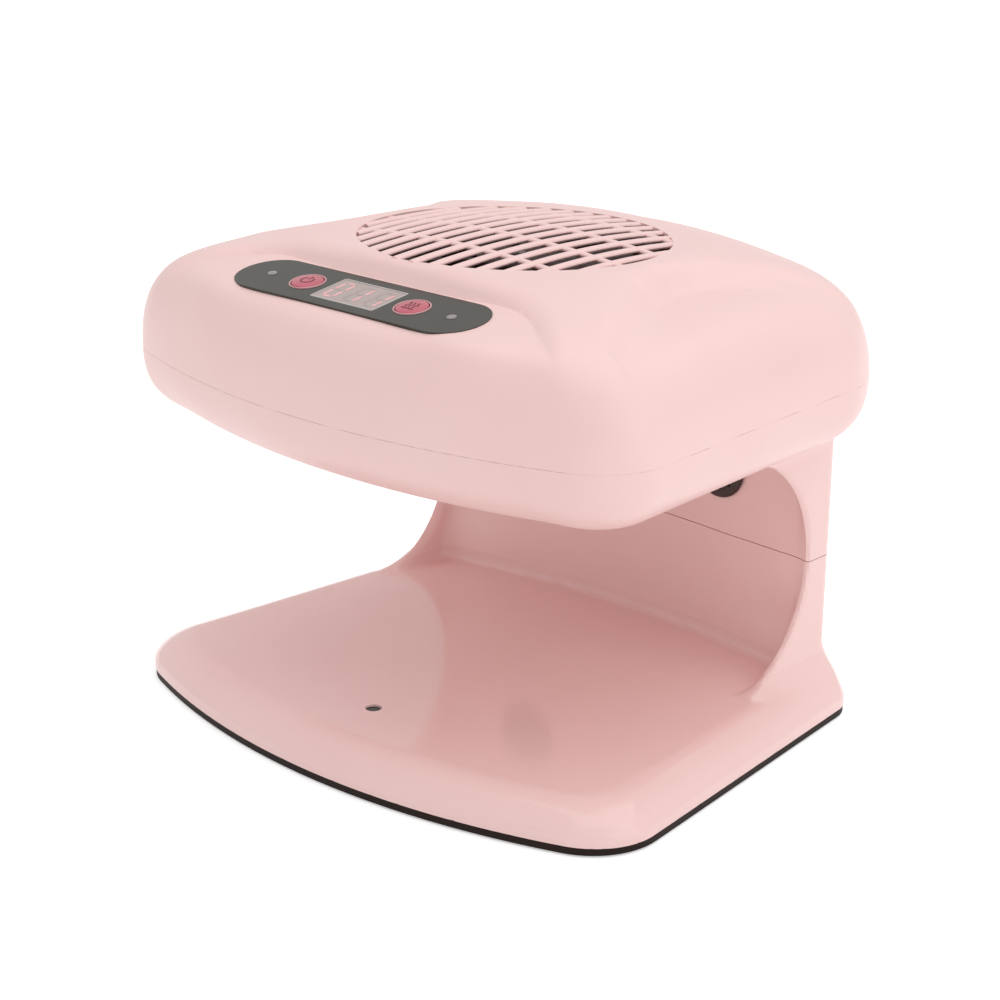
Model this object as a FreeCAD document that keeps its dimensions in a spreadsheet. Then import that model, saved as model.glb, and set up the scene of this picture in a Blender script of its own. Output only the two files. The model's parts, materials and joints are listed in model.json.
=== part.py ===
import FreeCAD, Part
import os
from math import asin, cos, degrees, pi, radians, sin, sqrt

import Sketcher
from FreeCAD import Placement, Rotation, Vector

# Nail polish fan dryer: a tapered foot with a tray, a hollow column with an arched cheek on
# each side, and a pillow-shaped head that holds the fan and the heater. Millimetres, +X to
# the right, +Y to the back, +Z up; the origin is on the table under the middle of the dryer.

doc = FreeCAD.newDocument("nail_fan_dryer")
sizes = doc.addObject("Spreadsheet::Sheet", "sizes")

DIMENSIONS = (
    # foot
    ("base_front_width", 246.5, "width of the foot at the front end of its straight sides"),
    ("base_rear_width", 213.6, "width of the foot at the rear end of its straight sides"),
    ("side_front", -81.65, "where the straight sides start, measured along Y"),
    ("side_rear", 70.25, "where the straight sides end"),
    ("base_front", -109.2, "foremost point of the foot"),
    ("base_rear", 86.85, "rearmost point of the foot"),
    ("base_front_bow", 293.0, "radius of the foot's bowed front"),
    ("base_rear_bow", 556.0, "radius of the foot's bowed back"),
    ("base_front_corner", 27.0, "plan radius of the foot's front corners"),
    ("base_rear_corner", 16.0, "plan radius of the foot's rear corners"),
    ("foot_gap", 0.6, "height of the bottom plate above the table"),
    ("bottom_thickness", 2.8, "thickness of the bottom plate"),
    ("bottom_inset", 0.2, "step from the foot's edge in to the bottom plate"),
    ("skirt_height", 8.0, "top of the foot's upright edge"),
    ("slope_power", 1.15, "roundness of the slope up to the tray, 1 is straight"),
    ("tray_height", 16.5, "height of the tray's floor"),
    ("tray_front_step", 11.65, "distance from the foot's front in to the tray"),
    ("tray_rear_step", 4.5, "distance from the foot's rear in to the slope's top"),
    ("tray_side_front", 20.25, "distance from the foot's side in to the tray, at the front"),
    ("tray_side_rear", 13.3, "distance from the foot's side in to the tray, at the rear"),
    ("shell_wall", 2.5, "wall of the moulded casings"),
    # column
    ("seam_height", 61.0, "seam between the base shell and the upper body"),
    ("seam_gap", 0.3, "width of the seams between the casings"),
    ("column_width", 188.0, "width over the outside of the two cheeks"),
    ("cheek_wall", 4.0, "thickness of a cheek"),
    ("column_step", 4.0, "distance from the foot's rear in to the back of the column"),
    ("column_corner", 5.0, "radius of the column's rear corners"),
    ("hand_wall", 66.05, "middle of the wall behind the hand, along Y"),
    ("hand_wall_bow", 400.0, "radius of that wall's bow"),
    ("arch_radius", 45.75, "radius of the arch through each cheek"),
    ("arch_centre", 14.85, "place of the arch's centre along Y"),
    ("cheek_tip", 9.0, "distance from the arch's centre to the cheek's front tips"),
    ("duct_half_width", 84.0, "half width of the hollow inside the column"),
    # head
    ("head_underside", 108.0, "height of the head's flat underside"),
    ("pan_depth", 26.0, "height of the seam round the head above its underside"),
    ("head_front", -109.35, "foremost point of the head"),
    ("head_rear", 109.35, "rearmost point of the head"),
    ("head_narrower", 3.5, "how much narrower than the foot the head is at the front"),
    ("head_wider", 13.4, "how much wider than the foot the head is at the rear"),
    ("head_front_bow", 296.0, "radius of the head's bowed front"),
    ("head_rear_bow", 200.0, "radius of the head's bowed back"),
    ("head_front_corner", 29.0, "plan radius of the head's front corners"),
    ("head_rear_corner", 56.0, "plan radius of the head's rear corners"),
    ("shoulder_rise", 38.0, "height of the shoulder above the seam"),
    ("shoulder_inset", 43.0, "how far the shoulder curves in"),
    ("shoulder_power", 2.43, "roundness of the shoulder, 2 is an ellipse"),
    ("front_share", 0.75, "share of the shoulder's inset that the front takes"),
    ("under_inset", 29.0, "how far the lower edge curves in"),
    ("under_power", 2.2, "roundness of the lower edge"),
    ("corner_ease", 0.45, "share by which the plan corners tighten where the head curves in"),
    ("crown_width", 142.0, "width of the raised crown at its foot"),
    ("crown_front_step", 32.2, "distance from the head's front to the crown"),
    ("crown_rear_step", 34.5, "distance from the head's rear to the crown"),
    ("crown_root", 4.0, "depth of the crown's foot inside the shoulder"),
    ("crown_gap", 3.2, "gap between the motor shaft's end and the crown's underside"),
    ("crown_inset", 14.0, "how far the crown narrows to its top"),
    ("crown_power", 1.8, "roundness of the crown's flank"),
    ("crown_corner", 38.0, "plan radius of the crown"),
    ("crown_tilt", 1.45, "fall of the crown to the back, in degrees"),
    # air intake
    ("grille_radius", 58.3, "radius of the slotted circle"),
    ("grille_centre", -2.05, "middle of the slotted circle and of the fan, along Y"),
    ("grille_rise", 3.5, "rise of the domed grille"),
    ("slot_pitch", 8.0, "pitch of the slots"),
    ("slot_width", 4.2, "width of a slot"),
    ("grille_edge", 1.0, "plain edge left round the slots"),
    ("rib_middle", -8.75, "place of the second cross rib along Y"),
    ("rib_pitch", 23.4, "pitch of the cross ribs"),
    ("rib_width", 3.2, "width of a cross rib"),
    # control panel, in its own tilted plane
    ("panel_step", 28.6, "distance from the head's front to the panel's middle"),
    ("panel_drop", 0.8, "depth of the panel's middle below the shoulder's top"),
    ("panel_tilt", 8.7, "slope of the panel, rising to the back, in degrees"),
    ("panel_length", 114.0, "length of the black panel"),
    ("panel_width", 27.0, "width of the black panel"),
    ("panel_thickness", 1.5, "thickness of the black panel"),
    ("panel_recess", 1.2, "depth of the recess that holds it"),
    ("panel_margin", 3.0, "level rim round the panel"),
    ("visor_flare", 5.0, "spread of the visor's sloping skirt"),
    ("visor_depth", 8.0, "depth of the visor's sloping skirt"),
    ("module_length", 32.0, "length of the display module"),
    ("module_width", 19.6, "width of the display module"),
    ("fit_gap", 0.15, "clearance of a piece laid into a recess"),
    ("window_length", 30.4, "length of the display window"),
    ("window_width", 18.0, "width of the display window"),
    ("window_depth", 2.5, "thickness of the display window"),
    ("window_lift", 0.2, "height of the window's face over the panel's plane"),
    ("button_x", 25.4, "distance of each button from the middle"),
    ("button_radius", 5.7, "radius of a button"),
    ("button_gap", 0.3, "clearance round a button"),
    ("button_height", 1.1, "height of a button's top over the panel's plane"),
    ("button_round", 0.5, "bevel round a button's top"),
    ("button_travel", 0.6, "travel of a button"),
    ("button_flange", 1.4, "width of the flange that keeps a button in"),
    ("flange_depth", 3.3, "depth of the flange's top below the panel's plane"),
    ("flange_thickness", 1.0, "thickness of a button's flange"),
    ("bezel_width", 0.7, "width of the ring round a button"),
    ("bezel_height", 0.4, "height of that ring"),
    ("lamp_x", 43.5, "distance of each indicator lamp from the middle"),
    ("lamp_radius", 1.8, "radius of an indicator lamp"),
    ("board_depth", 10.0, "depth of the control board below the panel's plane"),
    ("board_length", 100.0, "length of the control board"),
    ("board_width", 20.0, "width of the control board"),
    ("board_thickness", 1.6, "thickness of a circuit board"),
    ("board_post_x", 38.0, "place of the control board's posts along X"),
    ("board_post_radius", 3.0, "radius of those posts"),
    ("board_screw_bite", 5.0, "length of a board screw inside its post"),
    ("board_post_y", 5.5, "place of the control board's posts across the panel"),
    ("board_post_root", 2.0, "depth below the panel's plane where the posts start"),
    ("switch_size", 6.0, "side of a switch body"),
    ("switch_height", 3.5, "height of a switch body"),
    ("plunger_height", 0.8, "height of a switch's plunger"),
    ("plunger_radius", 1.6, "radius of a switch's plunger"),
    ("stem_radius", 2.6, "radius of a button's stem"),
    ("press_gap", 0.3, "gap between stem and plunger with the button pressed"),
    # fan and motor
    ("outlet_radius", 46.0, "radius of the air outlet in the head's underside"),
    ("outlet_flange", 5.5, "width of the outlet grille's flange"),
    ("outlet_flange_thickness", 1.5, "thickness of that flange"),
    ("duct_radius", 50.0, "inner radius of the fan duct"),
    ("duct_wall", 2.5, "wall of the fan duct"),
    ("duct_top_gap", 4.1, "gap between the fan duct and the crown's underside"),
    ("outlet_gap", 0.3, "clearance of the outlet grille in its hole"),
    ("outlet_sink", 0.3, "depth of the outlet grille's face above the underside"),
    ("outlet_edge", 2.5, "plain edge left round the outlet's slots"),
    ("outlet_slot_pitch", 7.0, "pitch of the outlet's slots"),
    ("outlet_slot_width", 4.5, "width of an outlet slot"),
    ("outlet_rib", 4.0, "width of the outlet's middle rib"),
    ("ear_thickness", 3.0, "thickness of the duct's ears"),
    ("duct_ear_radius", 58.0, "distance of the duct's screws from its axis"),
    ("motor_gap", 5.1, "gap between the heating rings and the motor plate"),
    ("motor_plate", 3.0, "thickness of the motor plate and of its arms"),
    ("motor_plate_margin", 2.0, "rim of the motor plate round the motor"),
    ("arm_width", 8.0, "width of an arm of the motor mount"),
    ("motor_screw_x", 10.0, "distance of the motor screws from the shaft"),
    ("end_cap_thickness", 1.5, "thickness of the motor's end cap"),
    ("motor_radius", 16.0, "radius of the motor can"),
    ("motor_wall", 1.0, "wall of the motor can"),
    ("motor_length", 26.0, "length of the motor can"),
    ("magnet_thickness", 2.5, "thickness of the motor's magnet ring"),
    ("magnet_gap", 0.6, "air gap between magnet ring and armature"),
    ("magnet_end_gap", 1.0, "gap between the bushes and the ends of the magnet ring"),
    ("bush_radius", 4.0, "radius of a shaft bush"),
    ("bush_length", 4.0, "length of a shaft bush"),
    ("bush_housing", 1.0, "wall of the housing round a bush"),
    ("shaft_radius", 1.5, "radius of the motor shaft"),
    ("shaft_clearance", 0.05, "radial clearance of the shaft in its bushes"),
    ("fan_radius", 47.0, "radius over the fan's blades"),
    ("hub_radius", 14.0, "radius of the fan's hub"),
    ("hub_height", 8.0, "height of the fan's hub"),
    ("hub_round", 1.5, "bevel round the hub's top"),
    ("fan_gap", 1.5, "gap between the motor and the fan's hub"),
    ("blade_count", 7.0, "number of fan blades"),
    ("blade_pitch", 32.0, "pitch of a blade, in degrees"),
    ("blade_thickness", 1.6, "thickness of a blade"),
    ("blade_root", 1.5, "length of a blade inside the hub"),
    ("blade_margin", 1.0, "height of the hub above and below the blades"),
    ("clip_thickness", 1.2, "thickness of the clip that holds the fan on the shaft"),
    # heater
    ("heater_height", 12.0, "height of the heater's mica cross"),
    ("heater_lift", 0.3, "height of the mica cross above the outlet grille"),
    ("mica_thickness", 1.0, "thickness of the mica"),
    ("mica_gap", 0.3, "clearance of the mica cross in the duct"),
    ("coil_radius", 40.0, "radius of the outermost heating ring"),
    ("coil_pitch", 9.0, "spacing of the heating rings"),
    ("coil_wire", 0.8, "radius of the heating wire"),
    ("thermostat_radius", 5.0, "radius of the thermostat"),
    ("thermostat_depth", 5.0, "depth of the thermostat"),
    ("thermostat_x", 30.0, "place of the thermostat along X"),
    ("fuse_radius", 1.5, "radius of the thermal fuse"),
    ("fuse_length", 10.0, "length of the thermal fuse"),
    ("fuse_x", 36.0, "distance of the fuse's outer end from the middle"),
    # hand sensor
    ("sensor_y", -75.55, "place of the hand sensor along Y"),
    ("sensor_hole", 3.0, "radius of the sensor's hole"),
    ("sensor_gap", 0.3, "clearance round the sensor's lens"),
    ("lens_flange", 1.3, "thickness of a lens's flange"),
    ("lens_rim", 1.0, "how far that flange reaches past its hole"),
    ("lens_sink", 0.8, "depth of a lens's face below the casing's surface"),
    ("sensor_board", 12.0, "side of a sensor's circuit board"),
    # vents in the wall behind the hand
    ("vent_x", 48.0, "distance of each vent from the middle"),
    ("vent_z", 88.0, "height of the vents"),
    ("vent_radius", 13.0, "radius of a vent's rim"),
    ("vent_rim", 1.5, "width of the rim that laps the wall"),
    ("vent_rim_thickness", 0.8, "thickness of that rim"),
    ("vent_lift", 0.25, "gap between a vent's flat rim and the bowed wall"),
    ("vent_depth", 4.0, "depth of a vent behind its rim"),
    ("vent_tube_wall", 1.5, "width of a vent's inner ring"),
    ("vent_slot_pitch", 3.4, "pitch of a vent's slots"),
    ("vent_slot_width", 1.8, "width of a vent's slots"),
    ("vent_slot_margin", 1.0, "plain edge at the ends of a vent's middle slot"),
    ("vent_slot_taper", 2.72, "how much shorter each slot is than the one nearer the middle"),
    # power
    ("inlet_z", 34.0, "height of the power inlet"),
    ("inlet_length", 20.0, "length of the inlet's face"),
    ("inlet_height", 13.0, "height of the inlet's face"),
    ("inlet_rim", 2.0, "rim round the inlet's socket"),
    ("inlet_face_thickness", 1.5, "thickness of the inlet's face"),
    ("socket_radius", 2.6, "radius of a round end of the inlet's socket"),
    ("inlet_depth", 9.0, "depth of the inlet's body behind the wall"),
    ("inlet_back", 2.0, "thickness of the inlet's back"),
    ("pin_sink", 1.0, "depth of the pins' ends inside the socket"),
    ("pin_radius", 1.2, "radius of an inlet pin"),
    ("pin_spacing", 8.6, "spacing of the inlet's two pins"),
    ("lead_radius", 1.8, "radius of the inner leads"),
    ("lead_bend", 8.0, "bend radius of the inner leads"),
    ("harness_x", 30.0, "place of the sensor lead along X"),
    ("harness_y", 73.85, "place of the sensor lead's upright run along Y"),
    ("power_board_y", 53.25, "front face of the upright power board"),
    ("power_board_length", 92.0, "length of the power board"),
    ("power_board_height", 42.0, "height of the power board"),
    ("board_lift", 1.5, "height of the power board above the head's floor"),
    ("guide_width", 5.0, "width of the guides that hold the power board"),
    ("guide_height", 16.0, "height of those guides"),
    ("guide_wall", 3.0, "thickness of a guide on each face of the board"),
    ("component_lift", 8.0, "height of the components above the board's lower edge"),
    ("transformer_inset", 9.0, "distance of the transformer from its end of the board"),
    ("transformer_length", 26.0, "length of the transformer"),
    ("transformer_depth", 18.0, "depth of the transformer"),
    ("transformer_height", 24.0, "height of the transformer"),
    ("capacitor_inset", 32.0, "distance of the capacitor's middle from the relay's end of the board"),
    ("capacitor_radius", 6.0, "radius of the capacitor"),
    ("capacitor_length", 16.0, "length of the capacitor"),
    ("relay_inset", 7.0, "distance of the relay from its end of the board"),
    ("relay_length", 15.0, "length of the relay"),
    ("relay_depth", 14.0, "depth of the relay"),
    ("relay_height", 18.0, "height of the relay"),
    # fasteners and feet
    ("screw_radius", 1.5, "radius of a screw's shank"),
    ("screw_head_radius", 2.8, "radius of a screw's head"),
    ("screw_head_height", 1.6, "height of a screw's head"),
    ("screw_clearance", 0.1, "clearance round a screw"),
    ("screw_end_gap", 1.0, "depth of a blind hole beyond its screw"),
    ("well_gap", 0.3, "clearance round a screw's head in a deep well"),
    ("blind_floor", 0.8, "wall left below the duct screws' holes"),
    ("boss_radius", 4.5, "radius of a screw boss"),
    ("head_screw_sink", 10.0, "depth of the head screws' wells"),
    ("head_screw_length", 26.0, "length of the head screws"),
    ("base_screw_x", 95.0, "distance of the front base screws from the middle"),
    ("base_screw_rear_x", 80.75, "distance of the rear base screws from the middle"),
    ("base_screw_front", -57.0, "place of the front base screws along Y"),
    ("base_screw_rear", 41.0, "place of the rear base screws along Y"),
    ("head_screw_x", 77.0, "distance of the head screws from the middle"),
    ("head_screw_front", -57.0, "place of the front head screws along Y"),
    ("head_screw_rear", 49.0, "place of the rear head screws along Y"),
    ("foot_x", 98.0, "distance of the front feet from the middle"),
    ("foot_rear_x", 88.2, "distance of the rear feet from the middle"),
    ("foot_front", -81.0, "place of the front feet along Y"),
    ("foot_rear", 69.0, "place of the rear feet along Y"),
    ("bridge_x", 70.0, "distance of the column's screws from the middle"),
    ("bridge_height", 10.0, "height of the web round each column screw"),
    ("foot_radius", 8.0, "radius of a rubber foot"),
    ("foot_recess", 1.0, "depth of a foot's seat in the bottom plate"),
)
for row, (alias, value, note) in enumerate(DIMENSIONS, start=1):
    sizes.set(f"A{row}", note)
    sizes.set(f"B{row}", str(value))
    sizes.setAlias(f"B{row}", alias)
doc.recompute()


# ---------------------------------------------------------------- helpers

nodes = []

COLUMN_REAR = "(sizes.base_rear - sizes.column_step)"
PARTING = "(sizes.head_underside + sizes.pan_depth)"
SHOULDER = f"({PARTING} + sizes.shoulder_rise)"
PANEL_Y = "(sizes.head_front + sizes.panel_step)"
PANEL_Z = f"({SHOULDER} - sizes.panel_drop)"
DUCT_LOW = "sizes.head_underside + sizes.shell_wall + sizes.outlet_flange_thickness"
HEATER_LOW = f"{DUCT_LOW} + sizes.heater_lift"
HEATER_TOP = f"{HEATER_LOW} + sizes.heater_height + 2 * sizes.coil_wire"
SEAT = f"{HEATER_TOP} + sizes.motor_gap + sizes.motor_plate"
CAN_TOP = f"{SEAT} + sizes.motor_length"
BUSH_TOP = f"{CAN_TOP} - sizes.motor_wall + sizes.bush_length"
HUB_LOW = f"{BUSH_TOP} + sizes.fan_gap"
HUB_TOP = f"{HUB_LOW} + sizes.hub_height"
SHAFT_TOP = f"{HUB_TOP} + 2 * sizes.clip_thickness"
CROWN_TOP = f"({SHAFT_TOP} + sizes.crown_gap + sizes.shell_wall)"
DUCT_TOP = f"{CROWN_TOP} - sizes.shell_wall - sizes.duct_top_gap"


def size(alias):
    """The value of one cell."""
    return float(sizes.get(alias))


def worth(expression):
    """The value of an expression over the sheet's cells."""
    return float(sizes.evalExpression(str(expression)))


def keep(thing, name):
    """Name an object as one of the dryer's pieces."""
    thing.Label = name
    nodes.append(thing)
    return thing


def bow_at(middle, radius, across):
    """Place along Y of a bowed wall at a distance from the middle."""
    return middle - radius + sqrt(radius ** 2 - across ** 2)


def bind(thing, **expressions):
    """Bind properties to cells; x, y and z stand for the placement's base."""
    for key, expression in expressions.items():
        target = f"Placement.Base.{key}" if key in ("x", "y", "z") else key
        thing.setExpression(target, str(expression))
    return thing


def primitive(kind, name, **expressions):
    return bind(doc.addObject(f"Part::{kind}", name), **expressions)


def fuse(name, pieces):
    result = doc.addObject("Part::MultiFuse", name)
    result.Shapes = pieces
    return result


def cut(name, base, tool):
    result = doc.addObject("Part::Cut", name)
    result.Base = base
    result.Tool = tool
    return result


def compound(name, pieces):
    result = doc.addObject("Part::Compound", name)
    result.Links = pieces
    return keep(result, name)


def solid_feature(name, shape):
    """A piece whose form neither PartDesign nor the primitives describe."""
    thing = doc.addObject("Part::Feature", f"{name}_form")
    thing.Shape = shape
    thing.Placement = Placement()
    return keep(thing, name)


def new_body(name):
    return keep(doc.addObject("PartDesign::Body", f"{name}_body"), name)


def place_on_panel(thing, across="0"):
    """Put an object in the panel's tilted plane, its own z along the panel's normal."""
    thing.Placement = Placement(Vector(), Rotation(Vector(1, 0, 0), size("panel_tilt")))
    thing.setExpression("Placement.Rotation.Angle", "sizes.panel_tilt")
    return bind(thing, x=across, y=PANEL_Y, z=PANEL_Z)


def new_sketch(body, name, role="XY_Plane", lift="0"):
    plane = next(item for item in body.Origin.OriginFeatures if item.Role == role)
    sketch = body.newObject("Sketcher::SketchObject", name)
    sketch.AttachmentSupport = [(plane, "")]
    sketch.MapMode = "FlatFace"
    sketch.setExpression("AttachmentOffset.Base.z", str(lift))
    return sketch


def dimension(sketch, kind, where, expression):
    index = sketch.addConstraint(Sketcher.Constraint(kind, *where, worth(expression)))
    sketch.setExpression(f"Constraints[{index}]", str(expression))


def fix_point(sketch, geometry, end, across, up):
    dimension(sketch, "DistanceX", (-1, 1, geometry, end), across)
    dimension(sketch, "DistanceY", (-1, 1, geometry, end), up)


def draw_circle(sketch, radius, across="0", up="0"):
    centre = Vector(worth(across), worth(up), 0)
    geometry = sketch.addGeometry(Part.Circle(centre, Vector(0, 0, 1), worth(radius)))
    dimension(sketch, "Radius", (geometry,), radius)
    fix_point(sketch, geometry, 3, across, up)


def draw_polygon(sketch, corners):
    """A closed outline with each corner bound by its two coordinates."""
    points = [Vector(worth(across), worth(up), 0) for across, up in corners]
    lines = [sketch.addGeometry(Part.LineSegment(start, end))
             for start, end in zip(points, points[1:] + points[:1])]
    for line, following in zip(lines, lines[1:] + lines[:1]):
        sketch.addConstraint(Sketcher.Constraint("Coincident", line, 2, following, 1))
    for line, (across, up) in zip(lines, corners):
        fix_point(sketch, line, 1, across, up)


def draw_rectangle(sketch, length, width, across="0", up="0"):
    left, right = f"{across} - ({length})/2", f"{across} + ({length})/2"
    low, high = f"{up} - ({width})/2", f"{up} + ({width})/2"
    draw_polygon(sketch, [(left, low), (right, low), (right, high), (left, high)])


def draw_stadium(sketch, length, width):
    """A stadium outline: two half circles joined by straight sides."""
    radius = worth(width) / 2
    half = worth(length) / 2 - radius
    top = sketch.addGeometry(Part.LineSegment(Vector(-half, radius, 0), Vector(half, radius, 0)))
    bottom = sketch.addGeometry(
        Part.LineSegment(Vector(half, -radius, 0), Vector(-half, -radius, 0)))
    upright = Vector(0, 0, 1)
    right = sketch.addGeometry(
        Part.ArcOfCircle(Part.Circle(Vector(half, 0, 0), upright, radius), -pi / 2, pi / 2))
    left = sketch.addGeometry(
        Part.ArcOfCircle(Part.Circle(Vector(-half, 0, 0), upright, radius), pi / 2, 3 * pi / 2))
    for joint in ((top, 2, right, 2), (right, 1, bottom, 1), (bottom, 2, left, 2), (left, 1, top, 1)):
        sketch.addConstraint(Sketcher.Constraint("Coincident", *joint))
    reach = f"({length})/2 - ({width})/2"
    fix_point(sketch, top, 1, f"-({reach})", f"({width})/2")
    fix_point(sketch, top, 2, reach, f"({width})/2")
    fix_point(sketch, bottom, 1, reach, f"-({width})/2")
    fix_point(sketch, bottom, 2, f"-({reach})", f"-({width})/2")
    dimension(sketch, "DistanceX", (-1, 1, right, 3), reach)
    dimension(sketch, "DistanceX", (-1, 1, left, 3), f"-({reach})")


def pad(body, sketch, name, length):
    feature = body.newObject("PartDesign::Pad", name)
    feature.Profile = sketch
    feature.setExpression("Length", str(length))
    return feature


def pocket_up(body, sketch, name, depth):
    """Cut from the sketch upwards, checking that it took something away."""
    doc.recompute()
    before = body.Shape.Volume
    feature = body.newObject("PartDesign::Pocket", name)
    feature.Profile = sketch
    feature.Reversed = True
    feature.setExpression("Length", str(depth))
    doc.recompute()
    if not body.Shape.Volume < before - 1e-6:
        raise RuntimeError(f"{name} cuts nothing")
    return feature


def revolve(body, name, corners):
    """A turned piece: its half section is given as radius and height."""
    sketch = new_sketch(body, f"{name}_section", "XZ_Plane")
    draw_polygon(sketch, corners)
    feature = body.newObject("PartDesign::Revolution", name)
    feature.Profile = sketch
    feature.ReferenceAxis = (sketch, ["V_Axis"])
    feature.Angle = 360
    return feature


def polar(body, original, name, count):
    axis = next(item for item in body.Origin.OriginFeatures if item.Role == "Z_Axis")
    feature = body.newObject("PartDesign::PolarPattern", name)
    feature.Originals = [original]
    feature.Axis = (axis, [""])
    feature.Angle = 360
    feature.Occurrences = count
    body.Tip = feature
    return feature


def screws(name, places, height, length, downwards=False):
    """Identical screws, heads at the given height, shanks running up or down from it."""
    pieces = []
    head, shank = "sizes.screw_head_height", f"({length})"
    for index, (across, along) in enumerate(places, start=1):
        head_z = f"({height})" if downwards else f"({height}) - {head}"
        shank_z = f"({height}) - {shank}" if downwards else f"({height})"
        cap = primitive("Cylinder", f"{name}_head_{index}", Radius="sizes.screw_head_radius",
                        Height=head, x=across, y=along, z=head_z)
        stem = primitive("Cylinder", f"{name}_shank_{index}", Radius="sizes.screw_radius",
                         Height=shank, x=across, y=along, z=shank_z)
        pieces.append(fuse(f"{name}_{index}", [cap, stem]))
    return compound(name, pieces)


def block(x_low, x_high, y_low, y_high, z_low, z_high):
    corner = Vector(x_low, y_low, z_low)
    return Part.makeBox(x_high - x_low, y_high - y_low, z_high - z_low, corner)


def pillar(radius, across, along, z_low, z_high):
    return Part.makeCylinder(radius, z_high - z_low, Vector(across, along, z_low))


# ---------------------------------------------------------------- outlines of the casings

SLOPE_SHARES = (0.12, 0.5, 1.0)
SECTION_ANGLES = (0, 16, 34, 52, 70, 90)
OVERLAP = 0.5       # depth to which one form is sunk into the next before they are fused
CLEAR = 1.0         # how far a cutting form runs past the surface it opens
FAR = 300.0         # longer than the dryer


def side_point(half_front, half_rear, centre, radius, back):
    """Where a tapered straight side meets the bowed front or back."""
    side_front, side_rear = size("side_front"), size("side_rear")
    taper = (half_front - half_rear) / (side_rear - side_front)
    offset = half_front + taper * side_front
    a = 1 + taper * taper
    b = -2 * (taper * offset + centre)
    c = offset * offset + centre * centre - radius * radius
    root = sqrt(b * b - 4 * a * c)
    y = (-b + root) / (2 * a) if back else (-b - root) / (2 * a)
    return Vector(offset - taper * y, y, 0)


def outline(form, inset, z, corner_share=1.0):
    """A casing's plan: bowed front and back, straight tapered sides, round corners."""
    half_front = form["front_width"] / 2 - inset
    half_rear = form["rear_width"] / 2 - inset
    front, rear = form["front"] + inset, form["rear"] - inset
    front_bow, rear_bow = form["front_bow"] - inset, form["rear_bow"] - inset
    fore = side_point(half_front, half_rear, front + front_bow, front_bow, back=False)
    aft = side_point(half_front, half_rear, rear - rear_bow, rear_bow, back=True)
    mirror_fore, mirror_aft = Vector(-fore.x, fore.y, 0), Vector(-aft.x, aft.y, 0)
    edges = [Part.Arc(mirror_fore, Vector(0, front, 0), fore).toShape(),
             Part.LineSegment(fore, aft).toShape(),
             Part.Arc(aft, Vector(0, rear, 0), mirror_aft).toShape(),
             Part.LineSegment(mirror_aft, mirror_fore).toShape()]
    prism = Part.Face(Part.Wire(edges)).extrude(Vector(0, 0, 1))
    uprights = [edge for edge in prism.Edges
                if abs(edge.Vertexes[0].Z - edge.Vertexes[1].Z) > 0.5]
    front_edges = [edge for edge in uprights if edge.Vertexes[0].Y < 0]
    rear_edges = [edge for edge in uprights if edge.Vertexes[0].Y > 0]
    prism = prism.makeFillet(form["front_corner"] * corner_share, front_edges)
    rear_edges = [edge for edge in prism.Edges
                  if any(edge.CenterOfMass.distanceToPoint(old.CenterOfMass) < 1e-3
                         for old in rear_edges)]
    prism = prism.makeFillet(form["rear_corner"] * corner_share, rear_edges)
    floor = min(prism.Faces, key=lambda face: face.CenterOfMass.z)
    wire = floor.OuterWire.copy()
    wire.translate(Vector(0, 0, z))
    return wire


FOOT = {"front_width": size("base_front_width"), "rear_width": size("base_rear_width"),
        "front": size("base_front"), "rear": size("base_rear"),
        "front_bow": size("base_front_bow"), "rear_bow": size("base_rear_bow"),
        "front_corner": size("base_front_corner"), "rear_corner": size("base_rear_corner")}
TRAY = dict(FOOT, front_width=FOOT["front_width"] - 2 * size("tray_side_front"),
            rear_width=FOOT["rear_width"] - 2 * size("tray_side_rear"),
            front=FOOT["front"] + size("tray_front_step"), rear=FOOT["rear"] - size("tray_rear_step"))
HEAD = {"front_width": FOOT["front_width"] - size("head_narrower"),
        "rear_width": FOOT["rear_width"] + size("head_wider"),
        "front": size("head_front"), "rear": size("head_rear"),
        "front_bow": size("head_front_bow"), "rear_bow": size("head_rear_bow"),
        "front_corner": size("head_front_corner"), "rear_corner": size("head_rear_corner")}


def between(first, second, share):
    return {key: first[key] + (second[key] - first[key]) * share for key in first}


def foot_form(wall):
    """The foot: an upright edge, then a convex slope up to the tray."""
    bottom = size("foot_gap") + size("bottom_thickness")
    skirt, top = size("skirt_height"), size("tray_height") - wall
    sections = [outline(FOOT, wall, bottom - wall), outline(FOOT, wall, skirt - wall / 2)]
    power = size("slope_power")
    for share in SLOPE_SHARES:
        z = skirt + (top - skirt) * (1 - (1 - share) ** power) ** (1 / power)
        sections.append(outline(between(FOOT, TRAY, share), wall, z))
    lower = Part.makeLoft(sections[:2], True, True)
    upper = Part.makeLoft(sections[1:], True, False)
    return lower.fuse(upper)


def superellipse(angle, power):
    """Inset share and height share of a rounded edge at an angle from its upright start."""
    turn = radians(angle)
    return 1 - max(cos(turn), 0.0) ** (2 / power), sin(turn) ** (2 / power)


def head_form(wall, upper):
    """Upper or lower half of the head, shrunk by a wall for its hollow."""
    parting = worth(PARTING)
    if upper:
        rise, inset, power = size("shoulder_rise") - wall, size("shoulder_inset"), size("shoulder_power")
        front_share = size("front_share")
    else:
        rise = size("head_underside") + wall - parting
        inset, power, front_share = size("under_inset"), size("under_power"), 1.0
    ease = size("corner_ease")
    sections = []
    for angle in SECTION_ANGLES:
        inward, height = superellipse(angle, power)
        step = inset * inward
        form = dict(HEAD, front=HEAD["front"] - step * (1 - front_share))
        sections.append(outline(form, wall + step, parting + rise * height, 1 - ease * inward))
    return Part.makeLoft(sections, True, False)


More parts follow.
